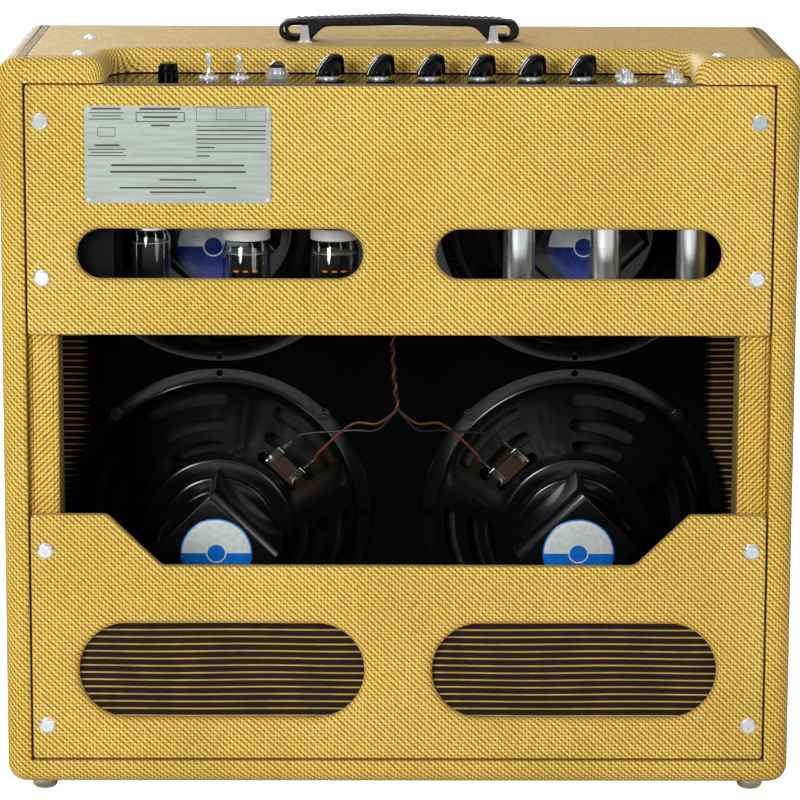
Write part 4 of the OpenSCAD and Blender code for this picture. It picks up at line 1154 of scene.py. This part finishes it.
def basket_mesh():
    """Pressed frame with raised ribs, three rows of slots in each of six windows, and eight flange holes."""
    profile = [(108, 0), (123, 0), (123, 2.0), (122.5, 2.5), (113, 2.6), (111.6, 3.3), (110.7, 6.0), (109.6, 9.0),
               (106.8, 11.2)]
    profile += [(106.8 - 41.0 * k / 9, 11.2 + 31.6 * k / 9) for k in range(1, 10)]
    profile += [(62.4, 45.9), (60.6, 48.4), (59.2, 49.6), (57.6, 50.0), (48, 50.2), (46.6, 51.2), (45.6, 53.2), (44, 54),
                (30, 54), (30, 52), (43, 51.8), (46, 48.4), (57, 48), (59.6, 46.2)]
    profile += [(64.4 + 41.0 * k / 9, 41.0 - 31.2 * k / 9) for k in range(0, 10)]
    profile += [(108, 8.4), (109, 5.0), (109, 1.0)]
    shape = lathe(profile, 144)
    for p in shape.points:
        reach = math.hypot(p.x, p.y)
        if 62 < reach < 109.7:
            turn = math.degrees(math.atan2(p.y, p.x)) % 60 - 30
            fade = min(1.0, (reach - 62) / 6) * min(1.0, (109.7 - reach) / 4)
            p.z += 1.9 * fade * max(0.0, 1 - (turn / 9) ** 2) ** 0.7
    cutters = Shape()
    for r0, r1, half_angle in ((96.5, 105.0, 19), (79.0, 87.6, 18.5), (64.8, 72.6, 17.5)):
        middle, wide = (r0 + r1) / 2, r1 - r0
        half = math.radians(half_angle) * middle
        loop = box_outline(0, 0, 2 * half, wide, wide / 2 - 0.05, 0.01)
        dense = []
        for (p, _, _), (q, _, _) in zip(loop, loop[1:] + loop[:1]):
            parts = max(1, int((q - p).length / 4))
            dense += [p.lerp(q, k / parts) for k in range(parts)]
        for window in range(6):
            ring = [(window * TURN / 6 + p.x / middle, middle + p.y) for p in dense]
            count = len(ring)
            points = [(r * math.cos(a), r * math.sin(a), z) for z in (1.5, 60) for a, r in ring]
            faces = [(i, (i + 1) % count, (i + 1) % count + count, i + count) for i in range(count)]
            cutters.add(points, faces + [tuple(range(count)), tuple(range(count, 2 * count))])
    for k in range(8):
        cutters.join(lathe([(0, -2), (2.7, -2), (2.7, 8), (0, 8)], 20), spin(z=45 * k) @ shift(119, 0, 0))
    return cut(shape, cutters, [BASKET], "basket", 32)


def magnet_shape():
    """Yoke bent from bar, with round magnet, front plate and cover behind the frame."""
    bar = outline((-37, 54, 0, 1.1), (-29, 54, 0, 1.1), (-29, 97, 3, 1.1), (29, 97, 3, 1.1), (29, 54, 0, 1.1), (37, 54, 0, 1.1),
                  (37, 105, 10, 1.1), (-37, 105, 10, 1.1))
    shape = slab([bar], 74, lambda a, b, h: (a, -37 - h, b), back_edge=1.1)
    shape.join(lathe([(0, 54), (34.5, 54), (35.5, 55), (35.5, 60), (34.5, 61), (0, 61)], 72))
    shape.join(lathe([(0, 61), (27, 61), (27.5, 62), (27.5, 66), (24, 67.5), (24, 96.8), (0, 96.8)], 64))
    return shape


def terminal_shape():
    """Fibre board with two push-on lugs, their crimped barrels pointing away from the middle."""
    board = slab([box_outline(74, 0, 14, 30, 2.5, 0.3)], 1.6, lambda a, b, h: (a, b, 44.6 + h), back_edge=0.3, skin=0)
    shape = Shape().join(board, slot=0)
    post = lathe([(0, 34), (2.6, 34), (2.6, 43), (0, 43)], 16, slot=0)
    for side in (-1, 1):
        shape.join(post, shift(71, side * 8, 0))
        y = side * 12
        lean = shift(76, y, 45) @ spin(y=-12)
        tab = slab([box_outline(0, 0, 16, 5, 1.0, 0.2)], 0.8, lambda a, b, h: (a, b, 0.8 + h), back_edge=0.2)
        shape.join(tab, lean, 1)
        sleeve = slab([box_outline(0, 0, 10, 6.6, 0.8, 0.6), box_outline(2, 0, 2.2, 2.2, 1.05, 0.1, hole=True)], 2.6,
                      lambda a, b, h: (a + 4, b, 2.6 + h), back_edge=0.6)
        shape.join(sleeve, lean, 1)
        for at, r, long in ((11.5, 1.9, 5.5), (18.0, 1.5, 4.0)):
            barrel = lathe([(0, 0), (r, 0.3), (r, long - 0.3), (0, long)], 16)
            shape.join(barrel, lean @ shift(at, 0, 1.6) @ spin(y=90), 1)
        shape.join(tube([(-2, 0, 1), (-5, side * 1.5, 4), (-4, side * 3, 8)], 0.6, 8), lean, 1)
    return shape


def cone_shape():
    """Paper cone with pressed rings and the coil former behind it."""
    front, rear = [], []
    for k in range(33):
        t = k / 32
        r = 103.6 - 79.6 * t
        z = 0.6 + 41.0 * t - 3.0 * math.sin(math.pi * t)
        wave = 0.8 * math.cos(k * math.pi) if 2 <= k <= 7 else (0.35 if k % 6 == 0 else 0.0)
        front.append((r, z + wave))
        rear.append((r, z + wave + 0.7))
    profile = front + [(18.6, 41.4), (18.6, 56), (17.8, 56), (17.8, 42)] + rear[::-1]
    return lathe(profile, 96)


def bolt_shape():
    """Bolt end, nut and washer that hold a loudspeaker."""
    shape = Shape()
    nut = lathe([(0, 3.1), (4.2, 3.1), (4.6, 3.6), (4.6, 5.9), (4.2, 6.4), (0, 6.4)], 6)
    for turn in (45, 135, 225, 315):
        at = spin(z=turn) @ shift(119, 0, 0)
        shape.join(lathe([(0, 2.55), (5.2, 2.55), (5.2, 3.2), (0, 3.2)], 28), at)
        shape.join(nut, at)
        shape.join(lathe([(0, -8.5), (2.3, -8.5), (2.3, 8.0), (1.8, 8.5), (0, 8.5)], 16), at)
    return shape


def label_shape():
    return lathe([(0, 105.0), (28.5, 105.0), (28.5, 105.35), (28.0, 105.7), (20, 105.95), (0, 106.1)], 72)


def make_speakers():
    basket = basket_mesh()
    magnet = mesh_of("magnet", magnet_shape(), [YOKE])
    terminals = mesh_of("terminals", terminal_shape(), [PHENOLIC, TIN])
    cone = mesh_of("cone", cone_shape(), [PAPER], 60)
    bolts = mesh_of("bolts", bolt_shape(), [DARK_STEEL])
    label = mesh_of("label", label_shape(), [LABEL])
    painted_shade_upper_label = mesh_of("painted_shade_upper_label", label_shape(), [SHADED_UPPER_LABEL])
    for name, turn, board in speaker_frames():
        here = in_metres(board)

        def put(part, mesh, node, body="cabinet", turned=True):
            own = mesh.copy()
            if turned:
                own.transform(turn)
            place_mesh(name + "_" + part, own, node, body, here)

        put("basket", basket, ["speaker_baskets"])
        put("magnet", magnet, ["speaker_magnets"])
        put("terminals", terminals, ["speaker_terminals"])
        put("bolts", bolts, ["speaker_bolts"], turned=False)
        # Upper loudspeakers take the darker label copy, which is painted shade.
        put("label", painted_shade_upper_label if "upper" in name else label, (), turned=False)
        put("paper", cone, [name + "_cone"], body_of(name + "_cone"))


def make_wires():
    """Two insulated wires to each lower loudspeaker, twisted together on their way up to the chassis."""
    meet = Vector((0, HALF_D - 150, CASE_LOW + 266))
    top = Vector((0, HALF_D - 150, CASE_LOW + 440))
    turns = 13
    steps = 130
    brown, black = Shape(), Shape()
    for phase, shape in ((0.0, brown), (math.pi, black)):
        path = []
        for k in range(steps + 1):
            t = k / steps
            angle = phase + t * turns * TURN
            path.append(meet.lerp(top, t) + Vector((1.15 * math.cos(angle) + 4 * math.sin(5 * t), 1.15 * math.sin(angle), 0)))
        shape.join(tube(path, 1.05, 8))
    ends = {name: board @ turn for name, turn, board in speaker_frames()}
    for name, side in (("lower_left", 1), ("lower_right", -1)):
        own = ends[name]
        for lug, shape, sag in ((-side * 12, brown, 0.0), (side * 12, black, 5.0)):
            tip = own @ Vector((97, lug, 51))
            away = own @ Vector((108, lug * 0.8, 53))
            knots = [meet, Vector((side * 16, meet.y - 5, meet.z - 12 - sag)), Vector((side * 36, meet.y - 12, meet.z - 14 - sag)),
                     away, tip]
            shape.join(tube(curve_through(knots), 1.0, 8))
    piece("brown_wires", brown, [BROWN_WIRE], ["speaker_wires"])
    piece("black_wires", black, [BLACK_WIRE], ["speaker_wires"])


# ---- Finishes of the CAD parts that are shown as they are ----

def dress_nodes():
    """Gives each CAD part in the table its finish, and the parts listed as fine a small bevel that catches the light.
    """
    table = {
        MIRROR: ("chassis",),
        CHROME: ("handle_brackets", "handle_screws", "chassis_bolts", "standby_lever", "power_lever", "panel_screws",
                 "pilot_lamp_holder", "input_jacks"),
        # Panel nuts and rivets take the finish with the painted highlight.
        GLINT_WHITE_NUT: ("panel_nuts", "nameplate_rivets"),
        STEEL: ("foot_screws", "toggle_switch_bodies", "potentiometers"),
        GLOSS_BLACK: ("fuse_holder",),
        TUBE_GLASS: ("fuse", "preamp_tubes"),
        PHENOLIC: ("tube_sockets",),
        IRON: ("power_transformer", "output_transformer", "choke"),
        FIBRE: ("component_board",),
        PAPER_CAP: ("board_components",),
        BAFFLE: ("baffle_board",),
        PINE: ("baffle_battens",),
    }
    fine = ("handle_brackets", "panel_nuts", "pilot_lamp_holder", "chassis", "power_transformer", "output_transformer",
            "choke", "component_board", "toggle_switch_bodies", "nameplate_rivets", "baffle_battens")
    for material, nodes in table.items():
        for node in nodes:
            item = frame["nodes"][node]
            item.data.materials.clear()
            item.data.materials.append(material)
            if node in fine:
                bevel = item.modifiers.new("soft_edges", "BEVEL")
                bevel.width = (0.7 if node == "chassis" else 0.25) * MM
                bevel.segments = 2
                bevel.limit_method = "ANGLE"
                bevel.angle_limit = math.radians(40)


make_camera()
make_studio()
make_cabinet()
make_panels()
make_cleats()
make_rails()
make_grilles()
make_nameplate()
make_feet()
make_washers()
make_handle()
make_knobs()
make_small_controls()
make_tubes()
make_shields()
make_speakers()
make_wires()
dress_nodes()
